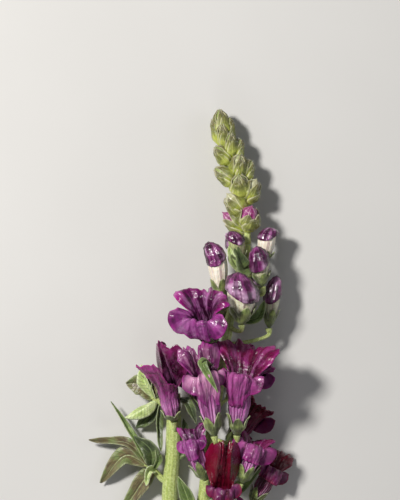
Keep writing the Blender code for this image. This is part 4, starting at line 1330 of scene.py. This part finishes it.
# Each tint of the leaves: the three greens of its patches, its veins and its margin
LEAF_COLOURS = {
    "green": (((0.06, 0.10, 0.02), (0.13, 0.20, 0.05), (0.24, 0.34, 0.09)),
              (0.36, 0.44, 0.18), (0.50, 0.54, 0.32)),
    "dark": (((0.035, 0.05, 0.02), (0.07, 0.10, 0.035), (0.14, 0.19, 0.06)),
             (0.24, 0.32, 0.12), (0.40, 0.45, 0.26)),
    "brown": (((0.09, 0.06, 0.03), (0.17, 0.13, 0.06), (0.17, 0.22, 0.07)),
              (0.40, 0.46, 0.22), (0.42, 0.46, 0.26)),
    "pale": (((0.28, 0.38, 0.10), (0.50, 0.62, 0.22), (0.66, 0.76, 0.38)),
             (0.70, 0.78, 0.46), (0.78, 0.82, 0.60)),
}
LEAF_SHADES = {tint: leaf_shade("leaf_" + tint, *colours) for tint, colours in LEAF_COLOURS.items()}
for spray, (route, leaves) in LEAFY_SPRAYS.items():
    carrier = rod(spray + "_stalk", smooth_route(route, STALK_STEPS), SPRAY_RADII, STALK_SIDES, STEM_SHADE)
    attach(carrier, "root")
    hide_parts(spray)
    for number, (*form, tint) in enumerate(leaves):
        leaf = blade("%s_leaf_%d" % (spray, number + 1), *form, 0.0, number, LEAF_SHADES[tint])
        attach(leaf, "root")
        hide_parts(spray)
for number, (*form, tint) in enumerate(BRACTS):
    leaf = blade("bract_%d" % (number + 1), *form, number, LEAF_SHADES[tint])
    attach(leaf, "root")
    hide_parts("stem")

# The surface it lies on, the studio light and the camera straight above, framed as the picture is. The
# surface is smooth pale card and the light comes from three large soft lamps.

FLOOR_SIDE = 3.0
FRAME_TALL = 0.2
CAMERA_HEIGHT = 1.3
CAMERA_FAR = 10.0
SENSOR = 36.0
SKY_COLOUR = (0.9, 0.93, 1.0, 1.0)
SKY_STRENGTH = 0.13

# Each lamp: its place, side, power and colour
LAMPS = {
    "key": ((-0.42, 0.3, 0.7), 0.13, 8.4, (1.0, 0.98, 0.95)),
    "fill": ((0.6, 0.1, 0.5), 0.4, 0.55, (0.95, 0.97, 1.0)),
    "low": ((-0.1, -0.8, 0.45), 0.3, 0.9, (1.0, 1.0, 1.0)),
}


def floor_shade():
    """Smooth pale card, very slightly uneven."""
    made = bpy.data.materials.new("pale_card")
    made.use_nodes = True
    tree = made.node_tree
    tree.nodes["Principled BSDF"].inputs["Roughness"].default_value = 0.8
    colour = ramp(tree, blotches(tree, 6.0), (0.3, (0.60, 0.59, 0.57)), (0.7, (0.65, 0.64, 0.62)))
    return painted(made, colour)


half = FLOOR_SIDE / 2
corners = [(-half, -half, 0), (half, -half, 0), (half, half, 0), (-half, half, 0)]
floor = mesh_piece("floor", corners, [(0, 1, 2, 3)], [floor_shade()])

middle = SHIFT * MM
for name, (place, side, power, colour) in LAMPS.items():
    lamp = bpy.data.objects.new(name, bpy.data.lights.new(name, "AREA"))
    lamp.data.size = side
    lamp.data.energy = power
    lamp.data.color = colour
    lamp.location = place
    lamp.rotation_euler = (middle - Vector(place)).to_track_quat("-Z", "Y").to_euler()
    bpy.context.scene.collection.objects.link(lamp)

world = bpy.data.worlds.new("studio")
world.use_nodes = True
sky = world.node_tree.nodes["Background"].inputs
sky["Color"].default_value = SKY_COLOUR
sky["Strength"].default_value = SKY_STRENGTH
bpy.context.scene.world = world
bpy.context.scene.view_settings.view_transform = "Standard"

camera = bpy.data.objects.new("camera", bpy.data.cameras.new("camera"))
camera.data.sensor_width = SENSOR
camera.data.lens = SENSOR * CAMERA_HEIGHT / FRAME_TALL
camera.data.clip_end = CAMERA_FAR
camera.location = (middle.x, middle.y, CAMERA_HEIGHT)
bpy.context.scene.collection.objects.link(camera)
bpy.context.scene.camera = camera
